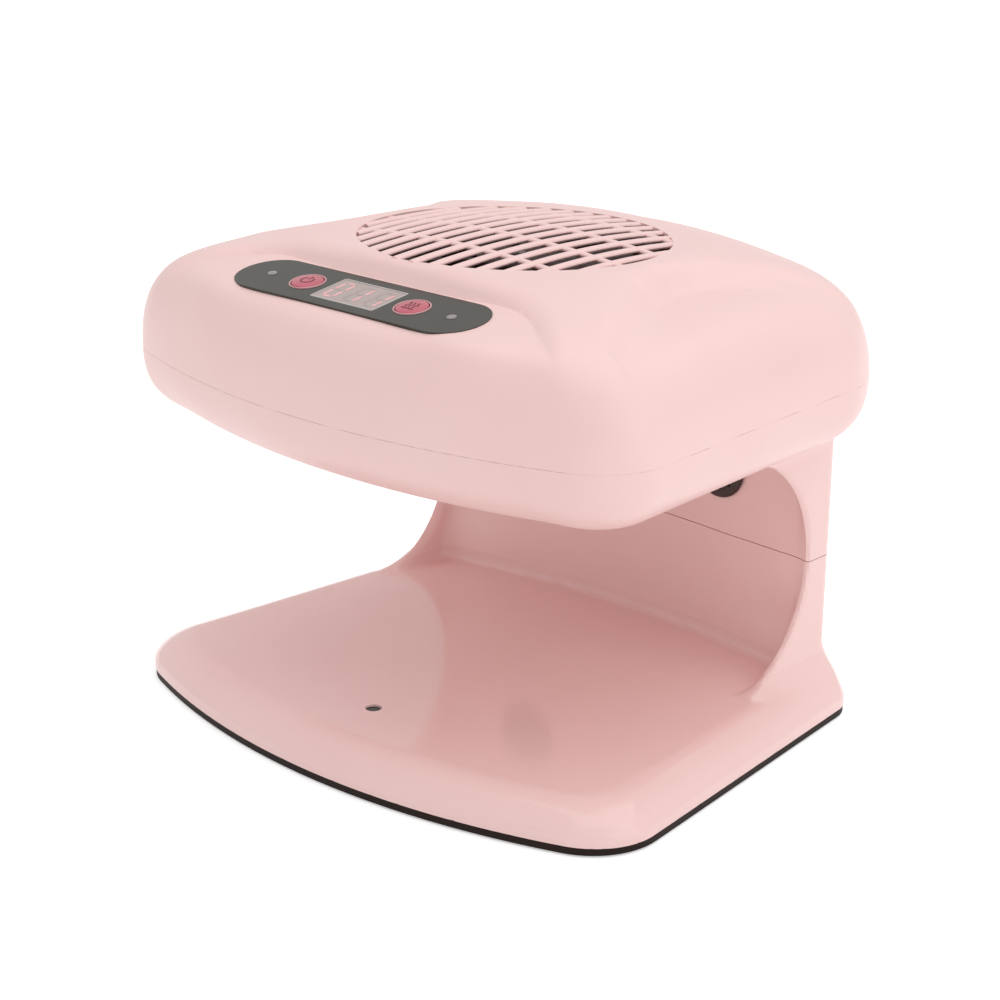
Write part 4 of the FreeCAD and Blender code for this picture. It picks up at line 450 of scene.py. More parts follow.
# A plan narrows from the front to the rear half width, and is bowed at both ends; a bow is its
# place along Y and its radius. The corners are those at the front and at the rear.
TAPER_START, TAPER_LENGTH = -81.65, 151.9
HEAD_PLAN = {"halves": (121.5, 113.5), "bows": ((-109.35, 296.0), (109.35, 200.0)),
             "corners": (29.0, 56.0)}
FOOT_PLAN = {"halves": (123.25, 106.8), "bows": ((-109.2, 293.0), (86.85, 556.0)),
             "corners": (27.0, 16.0)}
UPPER_REACH, UPPER_RISE, UPPER_POWER = 43.0, 38.0, 2.43     # from the parting to the crown
LOWER_REACH, LOWER_RISE, LOWER_POWER = 29.0, 26.0, 2.1      # from the parting to the underside
SLOPE_LOW, SLOPE_REACH, SLOPE_POWER = 6.0, 17.0, 1.5        # from the foot's edge to the tray

CROWN_RISE, CROWN_MIDDLE, CROWN_FALL = 8.6, -60.0, tan(radians(1.45))
# The crown's foot runs out in four soft arms: the angles round the grille's centre, and the
# distances between which it falls away there.
RIDGE_ANGLE = (-90, -70, -55, -40, -30, -22, -13, 0, 10, 18, 25, 34, 45, 60, 90)
RIDGE_START = (60, 60, 59, 60, 62, 62, 62, 61, 62, 62, 64, 62, 62, 62, 60)
RIDGE_END = (76, 84, 110, 124, 122, 104, 84, 77, 79, 90, 108, 112, 106, 103, 93)
# The rim of the shallow scallop along each of the head's sides.
SCALLOP_Y = (-75, -70, -67, -58, -43, -17, -3, 19, 34, 46, 58, 66)
SCALLOP_X = (112, 106, 98, 90, 82, 71, 66, 66, 71, 79, 88, 98)
SCALLOP_DEPTH = 2.3
WING_RISE, WING_AT, WING_SPREAD = 4.6, (60, -95), 15        # swell beside the panel's ends

GRILLE_Y, GRILLE_R, OUTLET_R = -2.05, 57.3, 46.0
PANEL_AT, PANEL_TILT = (-80.75, 171.2), radians(8.7)
PANEL_SIZE, PANEL_RIM, PANEL_DEEP = (114.0, 27.0), 3.0, 2.9
WINDOW_SIZE, WINDOW_HOLE = (30.4, 18.0), (16.3, 10.1)
BUTTON_X, LAMP_X = 25.4, 43.5
BUTTON_R, FLANGE_R, BEZEL_R = 5.7, 7.1, 6.65
BUTTON_HOLE_R, FLANGE_HOLE_R, LAMP_HOLE_R = 6.0, 7.7, 2.0

COLUMN_HALF, COLUMN_FRONT, COLUMN_HOLLOW = 94.0, 23.85, 78.0
REAR_BOW = (-473.15, 556.0)             # centre along Y and radius of the column's back
HAND_BOW = (-333.95, 400.0)             # the same of the wall behind the hand
CHEEK_INSIDE, ARCH_INSIDE = 90.0, 84.0
ARCH = (14.85, 62.25, 45.75)            # centre along Y and Z, radius
VENT_AT, VENT_HOLE_R = (48.0, 88.0), 11.5
INLET_HALF, INLET_Z, INLET_FRONT = (8.15, 4.65), 34.0, 75.0
SENSOR_AT, SENSOR_R = (0.0, -75.55), 3.0

HEAD_SCREWS = [(sx * 77.0, y) for sx in (-1, 1) for y in (-57.0, 49.0)]
BASE_SCREWS = [(sx * x, y) for sx in (-1, 1) for x, y in ((95.0, -57.0), (80.75, 41.0))]
PANEL_POSTS = [(sx * 38.0, sy * 5.5) for sx in (-1, 1) for sy in (-1, 1)]
BOSS_R, PILOT_R, CLEAR_R, POST_R = 4.5, 1.6, 3.1, 3.0
# How high the holes reach that are cut from below, and where the column's duct starts.
OUTLET_TOP, CLEAR_TOP, PILOT_TOP = 112.0, 118.0, 145.0
SENSOR_TOP, BASE_PILOT_TOP, DUCT_FRONT = 30.0, 14.0, 30.0


# ---------------------------------------------------------------- the dryer's forms

def corner_depth(first, second, lean, radius):
    """Depth in a corner rounded to a radius; lean is the cosine between the two normals."""
    p, q = first - radius, second - radius
    away = np.sqrt(np.maximum(p * p + q * q - 2 * lean * p * q, 0) / (1 - lean * lean))
    return np.where((p < lean * q) & (q < lean * p), radius - away, np.minimum(first, second))


def plan_depth(x, y, reach, plan, shares, ease=0.45):
    """How far inside a plan a point lies, measured as the plan shrinks.

    Each bowed end moves in by its share of the sides' way, and its corners tighten by ease
    until the plan has shrunk by reach.
    """
    front_half, rear_half = plan["halves"]
    taper = (front_half - rear_half) / TAPER_LENGTH
    side = front_half - taper * (y - TAPER_START) - np.abs(x)
    ends = []
    for sign, (edge, bow), corner, share in zip((1, -1), plan["bows"], plan["corners"], shares):
        middle = edge + sign * bow
        away = np.hypot(x, y - middle) + 1e-9
        lean = np.clip((np.abs(x) + taper * (y - middle)) / away, -0.95, 0.95)
        ends.append((bow - away, lean, corner, share))
    depth = union(side, *(end / share for end, _, _, share in ends))
    for _ in range(6):
        tight = 1 - ease * np.clip(depth / reach, 0, 1)
        level = union(*(corner_depth(side - depth, end - share * depth, lean, corner * tight)
                        for end, lean, corner, share in ends))
        depth = depth + level / 0.9
    return depth


def rounded_edge(depth, reach, rise, power, scale):
    """Superelliptical edge; rise is a share of its height, and scale brings it near to mm."""
    across = np.maximum(1 - depth / reach, 0)
    return ((across ** power + np.maximum(rise, 0) ** power) ** (1 / power) - 1) * scale


def head_low(x, y, z):
    """The head's lower half: its flank curves in to the flat underside."""
    depth = plan_depth(x, y, LOWER_REACH, HEAD_PLAN, (1.0, 1.0), ease=0.8)
    power = LOWER_POWER + 0.45 * ramp(np.abs(x), 80.0, 116.0)
    body = rounded_edge(depth, LOWER_REACH, (PARTING - z) / LOWER_RISE, power, 27.0)
    return np.where(z > PARTING, np.maximum(-depth, body), body)


def top_rise(x, y):
    """Height of the crown and its four soft arms over the pillow, less the side scallops."""
    distance = np.hypot(x, y - GRILLE_Y)
    angle = np.degrees(np.arctan2(y - GRILLE_Y, np.abs(x)))
    share = 1 - ramp(distance, np.interp(angle, RIDGE_ANGLE, RIDGE_START),
                     np.interp(angle, RIDGE_ANGLE, RIDGE_END))
    crown = CROWN_RISE - (y - CROWN_MIDDLE) * CROWN_FALL
    inside = np.abs(x) - np.interp(y, SCALLOP_Y, SCALLOP_X)
    hollow = SCALLOP_DEPTH * ramp(inside, -3.0, 11.0) * (1 - ramp(inside, 14.0, 44.0))
    wing = (WING_RISE * np.exp(-((np.abs(x) - WING_AT[0]) / WING_SPREAD) ** 2)
            * np.exp(-((y - WING_AT[1]) / WING_SPREAD) ** 2))
    return crown * share - hollow + wing


def on_panel(x, y, z):
    """Place in the panel's own tilted plane."""
    dy, dz = y - PANEL_AT[0], z - PANEL_AT[1]
    return (x, dy * cos(PANEL_TILT) + dz * sin(PANEL_TILT),
            dz * cos(PANEL_TILT) - dy * sin(PANEL_TILT))


def head_top_skin(x, y, z):
    """The head's upper half with its crown, and the notch that the panel lies in."""
    depth = plan_depth(x, y, UPPER_REACH, HEAD_PLAN, (0.58, 1.0))
    skin = rounded_edge(depth, UPPER_REACH, (z - top_rise(x, y) - PARTING) / UPPER_RISE,
                        UPPER_POWER, 40.0)
    across, along, height = on_panel(x, y, z)
    wide = np.abs(across)
    # the notch's rear bank, straight behind the panel and slanting forward past its ends
    bank = soft_max(along - 14.7 - 0.08 * np.maximum(wide - 30.0, 0),
                    0.59 * wide + 0.81 * along - 49.5, 8.0)
    level = np.maximum(bank, 0) * 0.95 - 0.07 * np.maximum(wide - 59.0, 0)
    return soft_max(skin, (height - level) * 0.75, 3.0)


def top_shell_field(x, y, z):
    """The head's upper casing with its bosses, the panel's seat and the round air intake."""
    skin = head_top_skin(x, y, z)
    across, along, height = on_panel(x, y, z)
    length, width = PANEL_SIZE
    bosses = [rod(x, y, BOSS_R, at) for at in HEAD_SCREWS]
    bosses += [common(rod(across, along, POST_R, at), slab(height, -6.0, 4.0))
               for at in PANEL_POSTS]
    cuts = [common(stadium(across, along, length - PANEL_RIM, width - PANEL_RIM),
                   -(height + PANEL_DEEP)),
            common(np.abs(across) - WINDOW_HOLE[0], np.abs(along) - WINDOW_HOLE[1],
                   slab(height, -5.0, 5.0)),
            rod(x, y, GRILLE_R, (0, GRILLE_Y))]
    for side in (-1, 1):
        for radius, at, low in ((BUTTON_HOLE_R, BUTTON_X, -5.0), (LAMP_HOLE_R, LAMP_X, -5.0),
                                (FLANGE_HOLE_R, BUTTON_X, -8.0)):
            cuts.append(common(rod(across, along, radius, (side * at, 0)),
                               slab(height, low, 5.0)))
    cuts += [common(rod(across, along, PILOT_R, at), slab(height, -7.0, 3.75))
             for at in PANEL_POSTS]
    cuts += [common(rod(x, y, PILOT_R, at), z - PILOT_TOP) for at in HEAD_SCREWS]
    return common(skin, union(-(skin + TOP_WALL), *bosses), -union(*cuts),
                  PARTING - SEAM_GAP + PARTING_GAP - z)


def column_block(x, y):
    """The column's outside, without its openings."""
    back = np.hypot(x, y - REAR_BOW[0]) - REAR_BOW[1]
    return np.maximum(soft_max(np.abs(x) - COLUMN_HALF, back, 6.0), COLUMN_FRONT - y)


def hand_wall(x, y, z):
    """Distance behind the bowed wall, which flattens towards the cheeks above the tray."""
    flatter = 3.2 * ramp(np.abs(x), 48.0, 91.0) * ramp(z, 20.0, 38.0)
    return np.hypot(x, y - HAND_BOW[0]) - HAND_BOW[1] - flatter


def hand_opening(x, y, z):
    """The room for the hand: the cavity between the cheeks and the arch through them."""
    cavity = soft_max(hand_wall(x, y, z), np.abs(x) - CHEEK_INSIDE, 3.0)
    behind = (y - ARCH[0]) * np.where(y > ARCH[0], 1.045, 1.0)
    arch = np.hypot(behind, z - ARCH[1]) - ARCH[2]
    arch = np.maximum(arch, ARCH_INSIDE - np.abs(x))
    sides = np.minimum(soft_min(cavity, arch, 4.0), y - COLUMN_FRONT)
    return soft_max(sides, np.maximum(FLOOR - z, z - CEILING), 2.5)


def column_hollow(x, y, z):
    """The duct for the leads between the column's back and the wall behind the hand."""
    back = np.hypot(x, y - REAR_BOW[0]) - (REAR_BOW[1] - FOOT_WALL)
    return common(np.abs(x) - COLUMN_HOLLOW, back, FOOT_WALL - hand_wall(x, y, z),
                  DUCT_FRONT - y)


def arched(body, x, y, z):
    """A body less the room for the hand; the rim's rounding runs out at tray and underside."""
    radius = 2.0 * ramp(z, 15.5, 24.0) * ramp(CEILING - z, 1.0, 7.5) + 1e-4
    return soft_max(body, -hand_opening(x, y, z), radius)


def vent_frame(x, y, z, side):
    """Place across, up and behind a vent's face, which follows the bowed wall."""
    turn = asin(VENT_AT[0] / HAND_BOW[1])
    reach = HAND_BOW[1] - 0.25
    dx, dy = x - side * reach * sin(turn), y - (HAND_BOW[0] + reach * cos(turn))
    c, s = cos(side * turn), sin(side * turn)
    return dx * c - dy * s, z - VENT_AT[1], dx * s + dy * c


def upper_body_field(x, y, z):
    """The head's lower casing in one with the upper half of the column."""
    head = head_low(x, y, z)
    spread = 1.0 + 6.0 * ramp(y, 12.0, 42.0)
    body = arched(soft_min(head, column_block(x, y), spread), x, y, z)
    bosses = union(*(rod(x, y, BOSS_R, at) for at in HEAD_SCREWS))
    cuts = [common(head + HEAD_WALL, CEILING + 2.5 - z, -bosses),
            common(column_hollow(x, y, z), z - (CEILING + 4)),
            common(rod(x, y, OUTLET_R, (0, GRILLE_Y)), z - OUTLET_TOP),
            common(rod(x, y, SENSOR_R, SENSOR_AT), z - OUTLET_TOP)]
    for at in HEAD_SCREWS:
        cuts += [common(rod(x, y, CLEAR_R, at), z - CLEAR_TOP), rod(x, y, PILOT_R, at)]
    for side in (-1, 1):
        across, up, behind = vent_frame(x, y, z, side)
        cuts.append(common(rod(across, up, VENT_HOLE_R), slab(behind, 0, 12.0)))
    return common(body, -union(*cuts), SEAM + SEAM_GAP / 2 - z, z - (PARTING - SEAM_GAP))


def foot_depth(x, y):
    return plan_depth(x, y, 15.0, FOOT_PLAN, (0.8, 0.33))


def foot_skin(x, y, z):
    """The foot: an upright edge, a full slope and the flat tray."""
    depth = foot_depth(x, y)
    reach = SLOPE_REACH - 3.5 * ramp(y, -80.0, 70.0)
    slope = rounded_edge(depth, reach, (z - SLOPE_LOW) / (FLOOR - SLOPE_LOW), SLOPE_POWER, 9.0)
    return np.maximum(slope, -depth)


def base_shell_field(x, y, z):
    """The foot with its tray in one with the lower half of the column."""
    spread = 4.0 + 4.5 * ramp(y, 16.0, 44.0)
    body = arched(soft_min(foot_skin(x, y, z), column_block(x, y), spread), x, y, z)
    bosses = union(*(rod(x, y, BOSS_R, at) for at in BASE_SCREWS))
    cuts = [common(FOOT_WALL - foot_depth(x, y), z - (FLOOR - FOOT_WALL),
                   foot_skin(x, y, np.maximum(z, 8.0)) + FOOT_WALL, -bosses),
            column_hollow(x, y, z),
            common(rod(x, y, SENSOR_R, SENSOR_AT), z - SENSOR_TOP),
            common(np.abs(x) - INLET_HALF[0], slab(z, INLET_Z, INLET_HALF[1]), INLET_FRONT - y)]
    cuts += [common(rod(x, y, PILOT_R, at), z - BASE_PILOT_TOP) for at in BASE_SCREWS]
    return common(body, -union(*cuts), PLATE_TOP - z, z - (SEAM - SEAM_GAP / 2))


# ---------------------------------------------------------------- settings

class FinishSettings(bpy.types.PropertyGroup):
    """Colours and gloss of the finishes that show most"""
    casing: FloatVectorProperty(
        name="Casings", description="Colour of the moulded casings", size=4, min=0.0, max=1.0,
        default=srgb(PLASTICS["pink_abs"][1]), subtype="COLOR")
    casing_drift: FloatVectorProperty(
        name="Casings, second tone", description="Tone that the casings' colour drifts to",
        size=4, min=0.0, max=1.0, default=srgb(PLASTICS["pink_abs"][2]), subtype="COLOR")
    panel: FloatVectorProperty(
        name="Panel", description="Colour of the control panel's sheet", size=4, min=0.0,
        max=1.0, default=srgb(PLASTICS["black_panel"][1]), subtype="COLOR")
    panel_drift: FloatVectorProperty(
        name="Panel, second tone", description="Tone that the panel's colour drifts to",
        size=4, min=0.0, max=1.0, default=srgb(PLASTICS["black_panel"][2]), subtype="COLOR")
    button: FloatVectorProperty(
        name="Buttons", description="Colour of the buttons' caps", size=4, min=0.0, max=1.0,
        default=srgb(PLASTICS["button_rose"][1]), subtype="COLOR")
    button_drift: FloatVectorProperty(
        name="Buttons, second tone", description="Tone that the buttons' colour drifts to",
        size=4, min=0.0, max=1.0, default=srgb(PLASTICS["button_rose"][2]), subtype="COLOR")
    gloss: FloatProperty(
        name="Casing roughness", description="Roughness of the satin casings",
        default=PLASTICS["pink_abs"][3], min=0.0, max=1.0, subtype="FACTOR")
    tray_gloss: FloatProperty(
        name="Tray roughness", description="Roughness of the polished tray", default=0.1,
        min=0.0, max=1.0, subtype="FACTOR")


class GrilleSettings(bpy.types.PropertyGroup):
    """Bars and ribs of the round air intake"""
    bars: IntProperty(name="Bars", description="Number of bars, which run from front to back",
                      default=14, min=2)
    bar_pitch: FloatProperty(name="Bar pitch", description="Distance from bar to bar",
                             default=8.0 * MM, min=0.0, unit="LENGTH", precision=4)
    bar_width: FloatProperty(name="Bar width", description="Width of a bar",
                             default=3.9 * MM, min=0.0, unit="LENGTH", precision=4)
    bar_depth: FloatProperty(name="Bar depth", description="Height of bars and ribs",
                             default=2.1 * MM, min=0.0, unit="LENGTH", precision=4)
    ribs: IntProperty(name="Ribs", description="Number of ribs across the bars", default=4,
                      min=2)
    rib_pitch: FloatProperty(name="Rib pitch", description="Distance from rib to rib",
                             default=23.4 * MM, min=0.0, unit="LENGTH", precision=4)
    rib_width: FloatProperty(name="Rib width", description="Width of a rib",
                             default=3.0 * MM, min=0.0, unit="LENGTH", precision=4)


class ControlSettings(bpy.types.PropertyGroup):
    """What the display shows"""
    shown: StringProperty(name="Digits", description="Digits that the display shows",
                          default="011", maxlen=3)
    digit_height: FloatProperty(name="Digit height", description="Height of a digit",
                                default=12.0 * MM, min=0.0, unit="LENGTH", precision=4)
    digit_width: FloatProperty(name="Digit width", description="Width of a digit",
                               default=4.6 * MM, min=0.0, unit="LENGTH", precision=4)
    bar_width: FloatProperty(name="Digit stroke", description="Width of a digit's bars",
                             default=1.0 * MM, min=0.0, unit="LENGTH", precision=4)


class FanSettings(bpy.types.PropertyGroup):
    """Fan and heater"""
    blades: IntProperty(name="Blades", description="Number of the fan's blades", default=7,
                        min=2)
    rings: IntProperty(name="Heating rings", description="Number of coiled rings", default=3,
                       min=1)
    wire: FloatProperty(name="Wire radius", description="Radius of the heating wire",
                        default=0.2 * MM, min=0.0, unit="LENGTH", precision=5)


class StageSettings(bpy.types.PropertyGroup):
    """Light and camera"""
    key: FloatProperty(name="Key lamp", description="Power of the soft lamp on the right",
                       default=5.0, min=0.0, unit="POWER")
    top: FloatProperty(name="Top lamp", description="Power of the soft lamp above",
                       default=12.2, min=0.0, unit="POWER")
    world: FloatProperty(name="World level", description="Strength of the surrounding white",
                         default=0.72, min=0.0, subtype="FACTOR")
    floor: FloatProperty(name="Floor glow", description="Light added to the floor for the eye",
                         default=0.42, min=0.0, subtype="FACTOR")
    lens: FloatProperty(name="Lens", description="Focal length of the camera in millimetres",
                        default=83.5, min=1.0, unit="CAMERA")
    azimuth: FloatProperty(name="Azimuth", description="Turn of the camera from the front",
                           default=radians(42.3), subtype="ANGLE")
    elevation: FloatProperty(name="Elevation", description="How far the camera looks down",
                             default=radians(19.1), subtype="ANGLE")
    roll: FloatProperty(name="Roll", description="Turn of the camera about its own axis",
                        default=radians(0.6), subtype="ANGLE")
    place: FloatVectorProperty(name="Camera place", description="Where the camera stands",
                               default=(0.5523, -0.61545, 0.3638), subtype="TRANSLATION",
                               unit="LENGTH", precision=4)


# ---------------------------------------------------------------- pieces

def new_piece(name, mesh, slot, body="root", instead=(), crease=35.0):
    """Put a finished mesh on its body, with its finish and smooth shading."""
    piece = bpy.data.objects.new(name, mesh)
    bpy.context.scene.collection.objects.link(piece)
    mesh.materials.clear()
    mesh.materials.append(MATERIALS[slot])
    mesh.polygons.foreach_set("use_smooth", [True] * len(mesh.polygons))
    mesh.polygons.foreach_set("material_index", [0] * len(mesh.polygons))
    mesh.set_sharp_from_angle(angle=radians(crease))
    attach(piece, body)
    if instead:
        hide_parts(*instead)


def pattern(name, mesh):
    """An object that only lends its mesh to a node tree."""
    thing = bpy.data.objects.new(f"{name}_pattern", mesh)
    bpy.context.scene.collection.objects.link(thing)
    return thing


def closed_mesh(name, made):
    """Turn a bmesh's faces outwards and keep it as a mesh."""
    bmesh.ops.recalc_face_normals(made, faces=made.faces)
    mesh = bpy.data.meshes.new(name)
    made.to_mesh(mesh)
    made.free()
    return mesh


def turned(name, profile, ring=False, segments=72):
    """A closed turned mesh about Z from its half section of radius and height, in mm.

    A section that isn't a ring starts and ends on the axis.
    """
    made = bmesh.new()
    rows = []
    for radius, height in profile:
        if radius < 1e-6:
            rows.append([made.verts.new((0, 0, height * MM))] * segments)
            continue
        rows.append([made.verts.new((radius * MM * cos(2 * pi * k / segments),
                                     radius * MM * sin(2 * pi * k / segments), height * MM))
                     for k in range(segments)])
    for first, second in zip(rows, rows[1:] + rows[:1] if ring else rows[1:]):
        for k in range(segments):
            loop = [first[k], first[k - 1], second[k - 1], second[k]]
            loop = [v for i, v in enumerate(loop) if v not in loop[:i]]
            if len(loop) > 2:
                made.faces.new(loop)
    return closed_mesh(name, made)


def rounded(radius, low, high, soft, steps=4):
    """The outer corner of a turned section, from its side at low up to its top at high."""
    return [(radius, low)] + [(radius - soft + soft * cos(a), high - soft + soft * sin(a))
                              for a in (pi / 2 * k / steps for k in range(steps + 1))]


def stroke(points, width, low, high):
    """A flat band of even width along a line of points, as a closed thin slab, in mm."""
    line = [Vector(point) for point in points]
    made = bmesh.new()
    rings = []
    for before, point, after in zip(line[:1] + line, line, line[1:] + line[-1:]):
        along = (after - before).normalized()
        side = Vector((-along.y, along.x)) * width / 2
        rings.append([made.verts.new((p.x * MM, p.y * MM, z * MM)) for p, z in
                      ((point + side, low), (point - side, low), (point - side, high),
                       (point + side, high))])
    for first, second in zip(rings, rings[1:]):
        for k in range(4):
            made.faces.new((first[k - 1], first[k], second[k], second[k - 1]))
    made.faces.new(rings[0])
    made.faces.new(rings[-1][::-1])
    return closed_mesh("stroke", made)


def joined(name, meshes):
    """One mesh of several."""
    made = bmesh.new()
    for mesh in meshes:
        made.from_mesh(mesh)
    whole = bpy.data.meshes.new(name)
    made.to_mesh(whole)
    made.free()
    for mesh in meshes:
        bpy.data.meshes.remove(mesh)
    return whole


def laid_on_panel(mesh, across=0.0):
    """Move a mesh made about the origin into the panel's tilted plane."""
    mesh.transform(Matrix.Translation((across * MM, PANEL_AT[0] * MM, PANEL_AT[1] * MM))
                   @ Matrix.Rotation(PANEL_TILT, 4, "X"))
    return mesh


def loose_boxes(name):
    """Low and high corner, in mm, of each separate solid of a CAD node."""
    made = bmesh.new()
    made.from_mesh(NODES[name].data)
    bmesh.ops.remove_doubles(made, verts=made.verts, dist=1e-6)
    left, boxes = set(made.verts), []
    while left:
        heap, found = [left.pop()], []
        while heap:
            vert = heap.pop()
            found.append(vert.co / MM)
            for edge in vert.link_edges:
                other = edge.other_vert(vert)
                if other in left:
                    left.remove(other)
                    heap.append(other)
        boxes.append([[pick(p[k] for p in found) for k in range(3)] for pick in (min, max)])
    made.free()
    return sorted(boxes)


# ---------------------------------------------------------------- node trees of the pieces

def new_tree(name, sockets):
    """A geometry tree with named inputs of each kind; gives it and its inputs."""
    tree = bpy.data.node_groups.new(name, "GeometryNodeTree")
    tree.interface.new_socket("Geometry", in_out="OUTPUT", socket_type="NodeSocketGeometry")
    for kind, keys in sockets.items():
        for key in keys:
            tree.interface.new_socket(key, in_out="INPUT", socket_type=f"NodeSocket{kind}")
    return tree, add(tree, "NodeGroupInput").outputs


def end_tree(tree, geometry, slot):
    """Make the copies real and give them their finish."""
    real = add(tree, "GeometryNodeRealizeInstances", (geometry,))
    skin = add(tree, "GeometryNodeSetMaterial", {"Geometry": real, "Material": MATERIALS[slot]})
    add(tree, "NodeGroupOutput", (skin,))
    return tree


def tree_piece(name, tree, slot, values, body="root", instead=(), crease=35.0, start=None):
    """Run a node tree once with the given inputs and keep its result as a plain mesh."""
    holder = bpy.data.objects.new(f"{name}_maker",
                                  start or bpy.data.meshes.new(f"{name}_empty"))
    bpy.context.scene.collection.objects.link(holder)
    modifier = holder.modifiers.new("maker", "NODES")
    modifier.node_group = tree
    sockets = {item.name: item.identifier for item in tree.interface.items_tree
               if item.in_out == "INPUT"}
    for key, value in values.items():
        modifier[sockets[key]] = value
    bpy.context.view_layer.update()
    graph = bpy.context.evaluated_depsgraph_get()
    mesh = bpy.data.meshes.new_from_object(holder.evaluated_get(graph), depsgraph=graph)
    holder.modifiers.remove(modifier)
    bpy.data.objects.remove(holder)
    mesh.name = f"{name}_mesh"
    if not len(mesh.polygons):
        raise RuntimeError(f"{name} came out empty")
    new_piece(name, mesh, slot, body, instead, crease)


def grille_tree(slot):
    """Bars along Y and ribs along X inside a circle, lifted onto a shallow dome."""
    tree, sizes = new_tree("grille bars on a dome", {
        "Int": ("Bars", "Ribs"),
        "Float": ("Circle Radius", "Centre Y", "Top Height", "Dome Rise", "Fall To The Back",
                  "Bar Pitch", "Bar Width", "Bar Depth", "Rib Start Y", "Rib Pitch",
                  "Rib Width", "Rib Sink")})
    radius, centre = sizes["Circle Radius"], sizes["Centre Y"]
    both = add(tree, "GeometryNodeJoinGeometry")
    for kind in ("Rib", "Bar"):
        count, pitch, bar = sizes[f"{kind}s"], sizes[f"{kind} Pitch"], kind == "Bar"
        if bar:
            steps = add(tree, MATH, (count, 1.0), operation="SUBTRACT")
            span = add(tree, MATH, (steps, pitch), operation="MULTIPLY")
            first = add(tree, MATH, (span, -0.5), operation="MULTIPLY")
            start = add(tree, "ShaderNodeCombineXYZ", {"X": first, "Y": centre})
        else:
            start = add(tree, "ShaderNodeCombineXYZ", {"Y": sizes["Rib Start Y"]})
        step = add(tree, "ShaderNodeCombineXYZ", {"X" if bar else "Y": pitch})
        row = add(tree, "GeometryNodeMeshLine", {
            "Count": count, "Start Location": start, "Offset": step})
        # half the chord of the circle at each bar or rib
        spot = add(tree, "ShaderNodeSeparateXYZ", (add(tree, "GeometryNodeInputPosition"),))
        across = spot.outputs["X"] if bar else add(
            tree, MATH, (spot.outputs["Y"], centre), operation="SUBTRACT").outputs[0]
        whole = add(tree, MATH, (radius, radius), operation="MULTIPLY")
        part = add(tree, MATH, (across, across), operation="MULTIPLY")
        rest = add(tree, MATH, (whole, part), operation="SUBTRACT")
        rest = add(tree, MATH, (rest, 1e-6), operation="MAXIMUM")
        reach = add(tree, MATH, (rest,), operation="SQRT")
        scale = add(tree, "ShaderNodeCombineXYZ", (1.0, reach, 1.0) if bar else (reach, 1.0, 1.0))
        end = (0, 1, 0) if bar else (1, 0, 0)
        line = add(tree, "GeometryNodeCurvePrimitiveLine", {
            "Start": [-c for c in end], "End": end})
        line = add(tree, "GeometryNodeResampleCurve", {"Curve": line, "Count": 33})
        lines = add(tree, "GeometryNodeInstanceOnPoints", {
            "Points": row, "Instance": line, "Scale": scale})
        lines = add(tree, "GeometryNodeRealizeInstances", (lines,))
        # the dome: highest at the centre, less what it falls to the back
        spot = add(tree, "ShaderNodeSeparateXYZ", (add(tree, "GeometryNodeInputPosition"),))
        y = add(tree, MATH, (spot.outputs["Y"], centre), operation="SUBTRACT")
        squares = [add(tree, MATH, (c, c), operation="MULTIPLY")
                   for c in (spot.outputs["X"], y, radius)]
        square = add(tree, MATH, squares[:2], operation="ADD")
        share = add(tree, MATH, (square, squares[2]), operation="DIVIDE")
        share = add(tree, MATH, (1.0, share), operation="SUBTRACT")
        dome = add(tree, MATH, (sizes["Dome Rise"], share), operation="MULTIPLY")
        back = add(tree, MATH, (y, radius), operation="ADD")
        fall = add(tree, MATH, (back, sizes["Fall To The Back"]), operation="MULTIPLY")
        rise = add(tree, MATH, (dome, fall), operation="SUBTRACT")
        top = add(tree, MATH, (sizes["Top Height"], rise), operation="ADD")
        half = add(tree, MATH, (sizes["Bar Depth"], 0.5), operation="MULTIPLY")
        height = add(tree, MATH, (top, half), operation="SUBTRACT")
        if not bar:
            height = add(tree, MATH, (height, sizes["Rib Sink"]), operation="SUBTRACT")
        lift = add(tree, "ShaderNodeCombineXYZ", {"Z": height})
        lines = add(tree, "GeometryNodeSetPosition", {"Geometry": lines, "Offset": lift})
        lines = add(tree, "GeometryNodeSetCurveNormal", {"Curve": lines}, mode="Z_UP")
        profile = add(tree, "GeometryNodeCurvePrimitiveCircle", {
            "Resolution": 16, "Radius": 0.5})
        section = add(tree, "ShaderNodeCombineXYZ", (
            sizes[f"{kind} Width"], sizes["Bar Depth"], 1.0))
        profile = add(tree, "GeometryNodeTransform", {"Geometry": profile, "Scale": section})
        bars = add(tree, "GeometryNodeCurveToMesh", {
            "Curve": lines, "Profile Curve": profile, "Fill Caps": True})
        tree.links.new(bars.outputs[0], both.inputs[0])
    return end_tree(tree, both, slot)


def copies_tree(slot):
    """Copies of a shape at the points of the incoming mesh."""
    tree, inputs = new_tree(f"copies in {slot}", {"Geometry": ("Places",), "Object": ("Shape",)})
    shape = add(tree, "GeometryNodeObjectInfo", {"Object": inputs["Shape"]})
    points = add(tree, "GeometryNodeMeshToPoints", {"Mesh": inputs["Places"]})
    copies = add(tree, "GeometryNodeInstanceOnPoints", {
        "Points": points, "Instance": shape.outputs["Geometry"]})
    return end_tree(tree, copies, slot)


